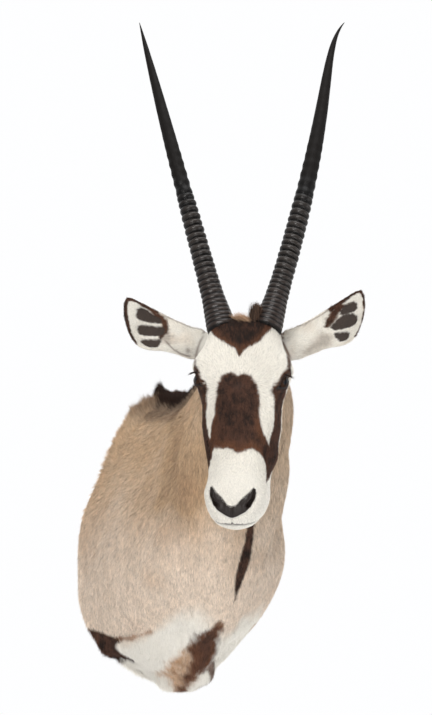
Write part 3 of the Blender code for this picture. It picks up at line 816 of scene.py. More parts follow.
def mirrored(outline):
    half = list(outline)
    return half + [(-x, y) for x, y in half[-2:0:-1]]


def padOf(places):
    return edge(inside(mirrored(nose["pad"]), places[:, 0], places[:, 1]), 0.0010) * (places[:, 2] > -0.035)


def fuse(name, parts, voxel):
    # one closed skin over parts that run into each other
    shape = bmesh.new()
    for part in parts:
        shape.from_mesh(part.data)
    mesh = bpy.data.meshes.new(name)
    shape.to_mesh(mesh)
    shape.free()
    obj = makeObject(name, mesh)
    remesh = obj.modifiers.new("Fuse", "REMESH")
    remesh.mode = "VOXEL"
    remesh.voxel_size = voxel
    graph = bpy.context.evaluated_depsgraph_get()
    fused = bpy.data.meshes.new_from_object(obj.evaluated_get(graph))
    obj.modifiers.clear()
    obj.data = fused
    return obj


def refine(mesh, chosen):
    # halves the faces whose every corner is chosen
    shape = bmesh.new()
    shape.from_mesh(mesh)
    shape.verts.ensure_lookup_table()
    edges = [e for e in shape.edges if chosen[e.verts[0].index] and chosen[e.verts[1].index]]
    bmesh.ops.subdivide_edges(shape, edges=edges, cuts=1, use_grid_fill=True)
    shape.to_mesh(mesh)
    shape.free()


def makeSkin():
    trunkPart = loft("trunkPart", trunkRings(np.linspace(0, 8, trunk["cuts"]), trunk["sidePoints"]))
    headPart = loft("headPart", headRings())
    obj = fuse("hide_skin", (trunkPart, headPart), skin["voxel"])
    mesh = obj.data
    for reach in (1.0, 0.55):
        places = toHead(pointsOf(mesh))
        chosen = (places[:, 1] > 0.355 - 0.075 * reach) & (places[:, 2] > -0.11)
        for side in (-1, 1):
            chosen |= np.linalg.norm(places - eyeFrame(side)[0], axis=1) < 0.020 + 0.020 * reach
        refine(mesh, chosen)
    points = pointsOf(mesh)
    trees = [treeOf(part.data) for part in (trunkPart, headPart)]
    trunkAway, headAway = (awayFrom(tree, points) for tree in trees)
    join = ease(skin["joinReach"], 0.006, np.maximum(trunkAway, headAway))
    points = relax(points, edgesOf(mesh), join, 24)
    setPoints(mesh, points)
    headShare = ease(0.010, 0.001, headAway) * ease(0.0, 0.004, trunkAway + 0.003)
    for part in (trunkPart, headPart):
        bpy.data.objects.remove(part, do_unlink=True)

    points, normals = pointsOf(mesh), normalsOf(mesh)
    places = toHead(points)
    pad = padOf(places) * headShare
    inset = skin["bodyInset"] + (skin["faceInset"] - skin["bodyInset"]) * headShare
    inset = inset * (1 - 0.8 * pad) * ease(-0.019, -0.035, points[:, 1])
    rise = -inset
    for centre, reach, height in faceRelief:
        for side in (-1, 1):
            if side > 0 or centre[0]:
                rise = rise + height * blob(places, np.multiply(centre, (side, 1, 1)), reach) * headShare
    for centre, reach, height in faceOddities:
        rise = rise + height * blob(places, centre, reach) * headShare
    for centre, reach, height in bodyRelief:
        rise = rise + height * blob(points, centre, reach) * (1 - headShare)
    for form in horns.values():
        rise = rise + 0.0075 * blob(points, form[0], 0.034) * headShare
    points = points + normals * rise[:, None]

    # nostrils, pad and mouth
    places = toHead(points)
    across, down, out = places.T
    slit, _ = toPath(nose["nostril"], np.abs(across), down)
    front = (out > -0.035) * headShare
    hole = np.exp(-((slit / nose["nostrilHalf"]) ** 2)) * front
    wing = np.exp(-(((slit - 0.0075) / 0.0035) ** 2)) * front * ease(0.010, 0.024, np.abs(across))
    lips, _ = toPath(nose["mouth"], out, down)
    lips = np.exp(-((lips / nose["mouthHalf"]) ** 2)) * headShare * ease(0.325, 0.345, down)
    cleft = np.exp(-((across / 0.0016) ** 2)) * ease(0.328, 0.340, down) * front
    rise = wing * 0.0013 + pad * 0.0008 - lips * nose["mouthDepth"] - cleft * 0.0016
    rise = rise + pad * grain(points, 0.0022, 8) * 0.00025
    points = points + normals * rise[:, None]
    points = points + (headFrame[1] * -0.4 - headFrame[2]) * (hole * nose["nostrilDepth"])[:, None]
    places, lidSkin = shapeLids(toHead(points))
    points = fromHead(places)
    setPoints(mesh, points)

    bare = np.clip(np.maximum(np.maximum(pad, lidSkin * headShare), lips * 0.8), 0, 1)
    dark, white, rust, tone, grey = coatAt(points, headShare, 0.5)
    # the nostrils and the line of the mouth are painted darker, as painted shade in these openings
    dark = np.maximum(dark, np.clip(hole * 1.5 + lips * 0.35, 0, 1))
    setColours(mesh, "coat", (dark, white, rust, bare))
    setColours(mesh, "strand", (tone, grey, 0.2, 0.5))
    mesh.shade_smooth()
    show(obj, skinMaterial, ["hide"])
    return obj, headShare, bare


hideSkin, hideHeadShare, hideBare = makeSkin()


# Hair: every hair is one long triangle, lying along the coat

hair = {
    # number, length, width and lift of the hairs
    "face_hair": (160000, 0.0078, 0.00085, 13),
    "neck_hair": (120000, 0.0125, 0.00110, 13),
    "right_shoulder_hair": (150000, 0.0130, 0.00125, 13),
    "left_shoulder_hair": (120000, 0.0130, 0.00140, 13),
    "edge_hair": (12000, 0.0200, 0.00110, 34),
    "ear_hair": (28000, 0.0062, 0.00075, 16),
    "mane_hair": (66000, 0.0245, 0.00135, 76),
    "poll_tuft_hair": (7000, 0.0360, 0.00080, 62),
    "sink": 0.0008,
    "seenAt": 0.42,  # the coat's pattern is read this far along a hair
}


class Scatter:
    # random places on a mesh, denser where the vertex weights are higher
    def __init__(self, mesh, weight, count, seed):
        mesh.calc_loop_triangles()
        corners = np.empty(len(mesh.loop_triangles) * 3, np.int32)
        mesh.loop_triangles.foreach_get("vertices", corners)
        self.corners = corners.reshape(-1, 3)
        points = pointsOf(mesh)
        a, b, c = (points[self.corners[:, k]] for k in range(3))
        area = np.linalg.norm(np.cross(b - a, c - a), axis=1) * weight[self.corners].mean(1)
        self.random = np.random.default_rng(seed)
        spread = np.cumsum(area)
        draws = self.random.random(count) * spread[-1]
        self.corners = self.corners[np.minimum(np.searchsorted(spread, draws), len(area) - 1)]
        u, v = self.random.random((2, count))
        u, v = np.where(u + v > 1, (1 - u, 1 - v), (u, v))
        self.share = np.stack([1 - u - v, u, v], 1)
        self.points = self.read(points)
        self.normals = unit(self.read(normalsOf(mesh)))

    def read(self, values):
        picked = values[self.corners]
        return (picked * (self.share[:, :, None] if picked.ndim == 3 else self.share)).sum(1)


def spun(vectors, axes, angles):
    # vectors turned about axes that they stand square to
    return vectors * np.cos(angles)[:, None] + np.cross(axes, vectors) * np.sin(angles)[:, None]


def makeHair(name, points, normals, flow, length, width, lift, coatFor, seed, rootDark=1.0, black=0.0,
             ragged=(0.70, 1.12)):
    # flow is the lie of the coat; coatFor gives dark, white, rust, tone and grey for the hairs' places
    random = np.random.default_rng(seed)
    count = len(points)
    flow = unit(flow - normals * (flow * normals).sum(1, keepdims=True))
    swirl = grain(points, 0.050, seed) * 0.12 + grain(points, 0.013, seed + 1) * 0.09
    flow = spun(flow, normals, swirl + random.normal(0, 0.17, count))
    raised = np.radians(lift + random.normal(0, 1, count) * np.minimum(6.0, np.multiply(lift, 0.25)))
    raised = raised + grain(points, 0.006, seed + 2) * 0.07
    direction = flow * np.cos(raised)[:, None] + normals * np.sin(raised)[:, None]
    reach = length * random.uniform(*ragged, count)
    side = unit(np.cross(direction, normals))
    bend = side * (grain(points, 0.0045, seed + 3) * 0.10 * reach)[:, None]
    tips = points + direction * reach[:, None] + bend
    side = spun(side, direction, random.normal(0, 0.5, count))
    roots = points - normals * hair["sink"]
    half = side * (width * random.uniform(0.75, 1.25, count) / 2)[:, None]
    corners = np.stack([roots - half, roots + half, tips], 1).reshape(-1, 3)
    mesh = bpy.data.meshes.new(name)
    mesh.vertices.add(3 * count)
    mesh.vertices.foreach_set("co", corners.ravel())
    mesh.loops.add(3 * count)
    mesh.loops.foreach_set("vertex_index", np.arange(3 * count, dtype=np.int32))
    mesh.polygons.add(count)
    mesh.polygons.foreach_set("loop_start", np.arange(0, 3 * count, 3, dtype=np.int32))
    mesh.update(calc_edges=True)
    seen = coatFor(points + (tips - points) * hair["seenAt"])
    dark, white, rust, tone, grey = (np.repeat(np.broadcast_to(c, count), 3) for c in seen)
    fading = np.repeat(np.broadcast_to(rootDark, count), 3)
    dark = dark * np.where(np.arange(3 * count) % 3 == 2, 1.0, fading)
    setColours(mesh, "coat", (dark, white, rust, black))
    along = np.tile((0.0, 0.0, 1.0), count)
    setColours(mesh, "strand", (tone, grey, along, np.repeat(random.random(count), 3)))
    return show(makeObject(name, mesh), hairMaterial)


def hideFlow(points, normals, headShare):
    # the lie of the coat: away from a whorl on the brow, then down face, neck and shoulder
    places = toHead(points)
    across, down, out = places.T
    away = unit(np.column_stack([across * 0.75, down - 0.122, np.zeros(len(points))]))
    aside = ease(0.060, 0.090, np.abs(girthOf(places)))[:, None]
    onHead = (away * (1 - aside) + np.array((0, 0.35, -1.0)) * aside) @ headFrame
    top = np.clip(normals[:, 2], 0, 1)
    onBody = np.column_stack([normals[:, 0] * 0.10, 0.10 + 0.6 * top, -1.0 + 0.45 * top])
    return onHead * headShare[:, None] + onBody * (1 - headShare)[:, None]


hornShape = {
    "plug": 0.028,
    "rings": 24,
    "ringStart": -0.027,
    "pitch": (0.0086, 0.0150),
    "relief": 0.0042,
    "thickness": {"right_horn": 1.0, "left_horn": 1.11},  # of the upper part
    "radii": (
        (-0.03, 0.0262), (0.00, 0.0242), (0.05, 0.0206), (0.12, 0.0183), (0.20, 0.0171), (0.39, 0.0149), (0.55, 0.0131),
        (0.68, 0.0110), (0.80, 0.0083), (0.90, 0.0054), (0.97, 0.0024), (1.00, 0.0008),
    ),
    "steps": 560,
    "around": 60,
}


def hornPlace(form, share):
    base, tip, bow, hook = form
    base, tip = np.array(base), np.array(tip)
    along = tip - base
    way = unit(along)
    aside = unit(np.array((1.0, 0, 0)) - way * way[0])
    rise = np.maximum(share, 0)
    sideways = 4 * bow * share * (1 - share) - hook * (rise**3 - rise**14)
    return base + along * share[:, None] + aside * sideways[:, None]


def insideHorn(points, extra):
    # whether a place lies within a horn's lower part
    hit = np.zeros(len(points), bool)
    for form in horns.values():
        base, tip = np.array(form[0]), np.array(form[1])
        way = unit(tip - base)
        height = (points - base) @ way
        off = np.linalg.norm(points - base - height[:, None] * way, axis=1)
        hit |= (height > -0.03) & (off < 0.0214 + extra)
    return hit


def makeHideHair():
    mesh = hideSkin.data
    points = pointsOf(mesh)
    z, x = points[:, 2], points[:, 0]
    grown = np.clip(1 - hideBare * 1.6, 0, 1) * (points[:, 1] < -0.021)
    grown = grown * ~insideHorn(points, -0.002)
    body = grown * (1 - hideHeadShare)
    regions = {
        "face_hair": grown * hideHeadShare,
        "neck_hair": body * ease(0.078, 0.082, z),
        "right_shoulder_hair": body * ease(0.082, 0.078, z) * ease(0.004, -0.004, x),
        "left_shoulder_hair": body * ease(0.082, 0.078, z) * ease(-0.004, 0.004, x),
    }
    for seed, (name, weight) in enumerate(regions.items()):
        count, length, width, lift = hair[name]
        lot = Scatter(mesh, weight, count, 100 + seed)
        share = lot.read(hideHeadShare)
        places = toHead(lot.points)
        girth, down = np.abs(girthOf(places)), places[:, 1]
        lengths = np.full(count, length)
        if name == "face_hair":
            crown = ease(0.05, 0.02, down) * ease(0.07, 0.04, girth)
            lengths = lengths * (1 + 0.6 * crown) * (1 - 0.72 * ease(0.020, -0.005, down))
            lengths = lengths * (1 - 0.45 * ease(0.23, 0.28, down)) * (1 - 0.5 * eyeShade(places))
        low = ease(-0.13, -0.22, lot.points[:, 2])
        nape = ease(0.75, 1.0, lot.normals[:, 2]) * ease(0.2, 0.3, lot.points[:, 2])
        lengths = lengths * (1 + (0.45 * low + 0.35 * nape) * (1 - share))
        flow = hideFlow(lot.points, lot.normals, share)

        def coatFor(seen, share=share):
            return coatAt(seen, share)

        makeHair(name, lot.points, lot.normals, flow, lengths, width, lift, coatFor, 200 + 10 * seed)

    # longer, dark-tipped hair where the hide meets the board
    count, length, width, lift = hair["edge_hair"]
    brink = grown * ease(-0.050, -0.024, points[:, 1]) * ease(0.10, 0.24, z)
    lot = Scatter(mesh, brink, count, 140)
    upper, tall = ease(0.05, 0.22, lot.points[:, 2]), ease(0.238, 0.262, lot.points[:, 2])
    flow = np.column_stack([np.zeros(count), np.full(count, 0.5), -1 + 1.3 * upper])

    def edgeCoat(seen):
        dark, white, rust, tone, grey = coatAt(seen, 0.0)
        smoky = (0.15 + 0.85 * tall) * np.clip(0.50 + grain(seen, 0.0035, 90) * 1.2, 0, 0.95)
        return np.maximum(dark, smoky), white, rust, tone, grey

    lengths = length * (0.40 + 0.30 * upper + 0.55 * tall) * (1 + 0.35 * grain(lot.points, 0.006, 91))
    lift = lift + 20 * tall
    makeHair("edge_hair", lot.points, lot.normals, flow, lengths, width, lift, edgeCoat, 260, 1 - 0.8 * upper)


makeHideHair()


# Mane and the lock between the horns

mane = {
    "start": 0.03,
    "span": 0.80,
    "coreHalf": 0.022,  # the dark hair stands this far either side of the nape
    "flankHalf": (0.062, 0.044),  # at the board and past the withers
    "coreShare": 0.66,
    # share of the nape and height of the hair, in shares of its length
    "heights": ((0.0, 1.42), (0.02, 1.36), (0.045, 1.28), (0.24, 1.20), (0.34, 0.85), (0.7, 0.60), (1.0, 0.25)),
    # hairs at the board that stand higher: number, place across and spread, and height
    "peak": (6000, -0.0130, 0.0058, 0.050),
}


def makeMane():
    count, length, width, lift = hair["mane_hair"]
    random = np.random.default_rng(31)
    share = random.random(count) ** 1.15
    core = random.random(count) < mane["coreShare"]
    wide, narrow = mane["flankHalf"]
    flankHalf = wide + (narrow - wide) * ease(0.14, 0.30, share)
    offset = np.where(core, random.normal(0, 0.55, count).clip(-1, 1) * mane["coreHalf"],
                      random.uniform(-1, 1, count) * flankHalf)
    more, peakAt, peakSpread, peakTall = mane["peak"]
    share[:more] = random.random(more) * 0.028
    offset[:more] = random.normal(peakAt, peakSpread, more)
    # down the side from the nape's line, along the ring
    ring = trunkRings(mane["start"] + share * mane["span"] * 8, 121)
    steps = np.abs(ring[:, :60, 0])
    step = (steps < np.abs(offset)[:, None]).sum(1)
    step = np.where(offset > 0, step, -step)
    roots = ring[np.arange(count), step]
    roots[:, 0] += random.normal(0, 0.002, count)
    roots[:, 2] -= 0.0055
    out = np.abs(offset) / wide
    clump = 1 + 0.20 * grain(roots * (1, 1, 0), 0.0055, 11)
    tall = np.interp(share, *np.array(mane["heights"]).T) * (1 - 0.62 * ease(0.30, 0.75, out)) * clump
    tall[:more] = peakTall / length * (1 - 0.25 * np.abs(offset[:more] - peakAt) / peakSpread) * clump[:more] ** 1.6
    peaked = np.arange(count) < more
    normals = unit(np.column_stack([offset * 7, np.full(count, 0.10), np.ones(count)]))
    flow = np.column_stack([offset * 16, np.full(count, 0.5), -0.9 * out])
    flank = ease(0.33, 0.78, out + grain(roots, 0.006, 12) * 0.10) * ~peaked

    def coatFor(seen):
        _, _, rust, tone, grey = coatAt(seen, 0.0)
        olive = 0.70 + 0.22 * ease(-0.09, -0.04, seen[:, 1]) + 0.25 * grain(seen, 0.005, 16)
        return np.maximum(1 - ease(0.2, 0.9, flank), np.clip(olive, 0, 0.95)), 0.0, rust * flank, tone, 0.34

    lifts = lift * (1 - 0.80 * ease(0.35, 0.95, out))
    makeHair("mane_hair", roots, normals, flow, length * tall, width, lifts, coatFor, 320,
             1 - 0.6 * ease(0.1, 0.5, flank), np.repeat(0.72 * (1 - ease(0.1, 0.6, flank)), 3), (0.88, 1.05))


def makeTuft():
    # a dark lock standing beside the left horn, and a fair one lying towards the right horn
    count, length, width, lift = hair["poll_tuft_hair"]
    random = np.random.default_rng(33)
    dark = random.random(count) < 0.55
    across = np.where(dark, random.normal(0.0200, 0.0040, count), random.normal(0.0090, 0.0070, count))
    depth = random.normal(-0.030, 0.007, count)
    roots = fromHead(np.column_stack([across, np.where(dark, 0.004, 0.006), depth]))
    up = np.where(dark, 1.0, 0.55)[:, None] * -headFrame[1]
    normals = unit(up + headFrame[2] * 0.35)
    flow = np.where(dark, 0.05, -1.0)[:, None] * headFrame[0] + headFrame[2] * 0.12

    def coatFor(seen):
        return np.where(dark, 0.94, 0.10), 0.0, np.where(dark, 0.12, 0.42), 0.6, 0.0

    lengths = length * np.where(dark, 1.0, 0.80)
    lifts = np.where(dark, 80.0, 46.0)
    black = np.repeat(np.where(dark, random.uniform(0.1, 0.9, count), 0.0), 3)
    makeHair("poll_tuft_hair", roots, normals, flow, lengths, width, lifts, coatFor, 340, 1.0, black, (0.45, 1.15))


makeMane()
makeTuft()


# Ears

ear = {
    "backDepth": 0.100,
    # distance out from the root, upper edge, lower edge, depth of the back and of the front
    "rows": (
        (-0.034, 0.020, -0.020, 0.018, 0.018),
        (0.000, 0.028, -0.029, 0.026, 0.022),
        (0.030, 0.027, -0.031, 0.026, 0.018),
        (0.060, 0.028, -0.034, 0.024, 0.006),
        (0.088, 0.031, -0.041, 0.022, -0.010),
        (0.108, 0.033, -0.039, 0.019, -0.012),
        (0.130, 0.036, -0.024, 0.013, -0.008),
        (0.150, 0.038, 0.001, 0.007, -0.004),
        (0.161, 0.036, 0.025, 0.003, -0.001),
    ),
    "edge": 0.0014,
    "cuts": 70,
    "sidePoints": 34,
    "channelDepth": 0.0016,
    # width of the dark rim for each share of its path
    "rimWidth": ((0.0, 0.0046), (0.25, 0.0056), (0.48, 0.0076), (0.70, 0.0058), (1.0, 0.0024)),
}

ears = {
    # side, root across and down, lift above level, stretch of the length
    "right_ear": (-1, (-0.086, 0.028), math.radians(18.4), 1.00),
    "left_ear": (1, (0.074, 0.025), math.radians(27.9), 1.01),
}

earMarks = {
    # outlines as distance out and rise: channels of the hollow, painted dark grey as shade in its grooves,
    # fringe of dark hair inside them, path of the rim, stains and thin brown lines, each line with its strength
    -1: {
        "shadedChannels": (
            ((0.134, 0.013), (0.136, 0.023), (0.131, 0.028), (0.121, 0.029), (0.110, 0.026), (0.098, 0.023),
             (0.086, 0.021), (0.080, 0.014), (0.096, 0.011), (0.109, 0.008), (0.123, 0.007), (0.132, 0.008)),
            ((0.121, -0.012), (0.123, -0.004), (0.116, 0.001), (0.100, 0.005), (0.078, 0.009), (0.070, 0.006),
             (0.070, -0.003), (0.077, -0.008), (0.095, -0.014), (0.113, -0.018)),
            ((0.107, -0.031), (0.105, -0.024), (0.090, -0.018), (0.072, -0.014), (0.069, -0.018),
             (0.070, -0.029), (0.081, -0.034), (0.095, -0.035)),
        ),
        "fringe": (
            (0.111, 0.029), (0.098, 0.029), (0.085, 0.027), (0.075, 0.021), (0.066, 0.011), (0.0645, 0.000),
            (0.068, -0.008), (0.071, -0.015), (0.077, -0.008), (0.075, 0.005), (0.084, 0.016), (0.098, 0.022),
        ),
        "rim": (
            (0.098, 0.0300), (0.114, 0.0335), (0.136, 0.0385), (0.151, 0.0400), (0.163, 0.036),
            (0.161, 0.022), (0.153, 0.005), (0.138, -0.016), (0.121, -0.032), (0.110, -0.038),
        ),
        "stain": ((0.066, -0.002), (0.052, -0.004), (0.050, -0.013), (0.062, -0.018), (0.070, -0.014)),
        "lines": (
            (((0.110, 0.031), (0.075, 0.028), (0.045, 0.026), (0.022, 0.025), (0.004, 0.029)), 0.55),
            (((0.062, -0.014), (0.049, -0.021), (0.038, -0.026), (0.024, -0.0275), (0.009, -0.027)), 0.75),
        ),
        "spot": (0.013, -0.019),
    },
    1: {
        "shadedChannels": (
            ((0.110, 0.019), (0.118, 0.024), (0.130, 0.0265), (0.141, 0.025), (0.144, 0.019), (0.141, 0.011),
             (0.133, 0.0075), (0.120, 0.0105), (0.109, 0.0125)),
            ((0.081, 0.000), (0.089, 0.005), (0.103, 0.010), (0.1145, 0.0115), (0.130, 0.007), (0.134, -0.001),
             (0.132, -0.009), (0.124, -0.0145), (0.114, -0.0145), (0.099, -0.011), (0.086, -0.007)),
            ((0.083, -0.011), (0.092, -0.013), (0.106, -0.019), (0.109, -0.024), (0.104, -0.031),
             (0.0965, -0.034), (0.086, -0.031), (0.082, -0.021)),
        ),
        "fringe": (
            (0.116, 0.032), (0.122, 0.025), (0.110, 0.019), (0.100, 0.0135), (0.088, 0.006), (0.079, 0.001),
            (0.074, 0.005), (0.080, 0.014), (0.091, 0.021), (0.104, 0.028),
        ),
        "rim": (
            (0.096, 0.0290), (0.116, 0.0325), (0.132, 0.037), (0.151, 0.0415), (0.162, 0.039),
            (0.165, 0.031), (0.162, 0.016), (0.153, -0.003), (0.135, -0.023), (0.116, -0.037),
        ),
        "stain": ((0.062, -0.006), (0.040, -0.018), (0.022, -0.026), (0.042, -0.027), (0.068, -0.030), (0.076, -0.014)),
        "lines": ((((0.100, 0.030), (0.068, 0.026), (0.041, 0.023), (0.012, 0.032)), 0.55),),
        "spot": (-0.1, 0.0),
    },
}


def earRings(side, root, lift, stretch):
    rings, flat = [], []
    numbers = np.linspace(0, len(ear["rows"]) - 1, ear["cuts"])
    steps = np.sin(np.linspace(-1, 1, ear["sidePoints"]) * math.pi / 2)
    along = np.array((side * math.cos(lift), math.sin(lift)))
    upward = np.array((-side * math.sin(lift), math.cos(lift)))
    for length, upper, lower, back, front in spline(ear["rows"], numbers):
        middle, half = (upper + lower) / 2, (upper - lower) / 2
        rise = middle + half * np.concatenate([steps, steps[::-1]])
        rear = -ear["edge"] - back * (1 - steps**2) ** 0.8
        fore = ear["edge"] + front * (1 - steps**2)
        depth = np.concatenate([rear, fore[::-1]])
        facing = np.concatenate([np.zeros(len(steps)), np.ones(len(steps))])
        at = along * length * stretch + upward * rise[:, None]
        rings.append(np.column_stack([root[0] + at[:, 0], root[1] - at[:, 1], depth - ear["backDepth"]]))
        flat.append(np.column_stack([np.full(len(rise), length), rise, facing]))
    return np.array(rings), np.array(flat).reshape(-1, 3)


def earFlat(points, side, root, lift, stretch):
    # distance out along the ear and rise across it
    places = toHead(points)
    across, up = places[:, 0] - root[0], root[1] - places[:, 1]
    along = (across * side * math.cos(lift) + up * math.sin(lift)) / stretch
    return along, -across * side * math.sin(lift) + up * math.cos(lift)


def earCoat(along, rise, facing, points, side, spread=1.0):
    # dark, white, rust, tone and grey over an ear, and how bare it is along the channels that are painted dark as shade
    marks = earMarks[side]
    wobble = (grain(points, 0.005, 21) * 0.0010 + grain(points, 0.0022, 22) * 0.0006) * spread
    # painted shade in the grooves of the hollow, dark and grey
    shadedChannel = np.zeros(len(along))
    for outline in marks["shadedChannels"]:
        shadedChannel = np.maximum(shadedChannel, edge(inside(outline, along, rise) + wobble * 0.6, 0.0009))
    shadedChannel = shadedChannel * facing
    fringe = edge(inside(marks["fringe"], along, rise) + wobble * 2 + 0.0012, 0.0026) * facing
    rim, place = toPath(marks["rim"], along, rise)
    rim = edge(np.interp(place, *np.array(ear["rimWidth"]).T) - rim + wobble * 1.5, 0.0011)
    stain = edge(inside(marks["stain"], along, rise) + wobble * 4 + 0.002, 0.008) * facing
    thin = np.zeros(len(along))
    for path, strength in marks["lines"]:
        thin = np.maximum(thin, strength * edge(0.0011 - toPath(path, along, rise)[0] + wobble * 0.4, 0.0013))
    spot = np.exp(-(np.hypot(along - marks["spot"][0], rise - marks["spot"][1]) / 0.004) ** 2)
    thin = np.maximum(np.maximum(thin, spot * 0.6) * facing, browAt(toHead(points)))
    dark = np.maximum.reduce((shadedChannel, rim, fringe, thin, stain * 0.30))
    white = np.clip(facing + ease(0.05, 0.0, along), 0.35, 1) * (1 - 0.5 * fringe) * (1 - 0.45 * stain)
    warm = ease(0.085, 0.06, along) * np.clip(grain(points, 0.020, 24) + 0.2, 0, 1)
    rust = np.clip(fringe * 0.22 + thin * 0.8, 0, 1)
    grey = 0.15 + 0.75 * shadedChannel + 0.5 * stain - 0.3 * warm
    return dark, np.clip(white - warm * 0.22, 0, 1), rust, 0.7, np.clip(grey, 0, 1), shadedChannel


def makeEar(name, form, seed):
    rings, flat = earRings(*form)
    count = rings.shape[1]
    obj = loft(name + "_skin", fromHead(rings.reshape(-1, 3)).reshape(rings.shape))
    mesh = obj.data
    flat = np.vstack([flat, flat[:count].mean(0), flat[-count:].mean(0)])
    points, normals = pointsOf(mesh), normalsOf(mesh)
    side, _, tilt, _ = form
    *coat, shadedChannel = earCoat(*flat.T, points, side, 0.6)
    folds = grain(points, 0.018, seed) * 0.0012 * ease(0.0, 0.03, flat[:, 0])
    ribs = (1 - shadedChannel) * flat[:, 2] * ease(0.07, 0.09, flat[:, 0]) * 0.0008
    points = points + normals * (folds + ribs - 0.0014 - shadedChannel * ear["channelDepth"])[:, None]
    setPoints(mesh, points)
    dark, white, rust, tone, grey = coat
    setColours(mesh, "coat", (dark, white, rust, 0.0))
    setColours(mesh, "strand", (tone, np.clip(grey, 0, 1), 0.3, 0.5))
    show(obj, skinMaterial, ["hide"])

    number, length, width, lift = hair["ear_hair"]
    grown = ease(-0.004, 0.006, flat[:, 0]) * (1 - 0.75 * shadedChannel)
    lot = Scatter(mesh, grown, number, seed)
    along, rise = earFlat(lot.points, *form)
    facing = lot.read(flat[:, 2])
    shadedChannel = earCoat(along, rise, facing, lot.points, side)[5]
    outward = np.array((side * math.cos(tilt), -math.sin(tilt), 0)) @ headFrame
    upward = np.array((-side * math.sin(tilt), -math.cos(tilt), 0)) @ headFrame
    flow = outward + upward * (ease(-0.01, 0.03, rise) * 0.5 - 0.1)[:, None]
    lengths = length * (1 - 0.45 * shadedChannel) * (1 + 0.3 * ease(0.04, 0.0, along))
    lengths = lengths * (1 - 0.4 * ease(0.10, 0.14, along))

    def coatFor(seen):
        return earCoat(*earFlat(seen, *form), facing, seen, side)[:5]

    makeHair(name + "_hair", lot.points, lot.normals, flow, lengths, width, lift, coatFor, seed + 3)


for number, (earName, earForm) in enumerate(ears.items()):
    makeEar(earName, earForm, 400 + 10 * number)


# Horns

def hornMaterial():
    # ring holds crest, share of the length, roughness of the surface and inner side
    paint = Paint("horn")
    crest, share, worn, _ = paint.split("ring")
    streak = paint.noise((1, 1, 0.12), 420.0, 4.0, 0.6)
    cloud = paint.noise((1, 1, 1), 60.0, 3.0)
    low = paint.span(share, 0.0, 0.16, 1.0, 0.0)
    ground = paint.blend(low, colour(8, 7, 7), colour(13, 10, 9))
    # raised is the crests' lighter tone: partly worn keratin, partly painted highlight on the knuckles that face the
    # front
    raised = paint.blend(low, colour(48, 42, 38), colour(48, 38, 33))
    tone = paint.blend(paint.span(crest * 0.9 + (cloud - 0.5) * 0.6, 0.25, 1.05), ground, raised)
    smooth = paint.span(share, 0.40, 0.46)
    tone = paint.blend(smooth, tone, colour(12, 8, 6))
    tone = paint.blend(paint.span(streak, 0.58, 0.80) * (0.16 - smooth * 0.12), tone, colour(84, 72, 62))
    rough = paint.span(cloud * 0.6 + streak * 0.4, 0.3, 0.7, 0.26, 0.44) + worn * 0.1 + smooth * 0.24
    return paint.finish({
        "Base Color": tone, "Roughness": rough, "Specular IOR Level": 0.16,
        "Coat Weight": crest * (1 - smooth) * 0.35, "Coat Roughness": 0.22,
        "Normal": paint.bump(streak * 0.7 + cloud * 0.4, 0.30, 0.0007),
    })


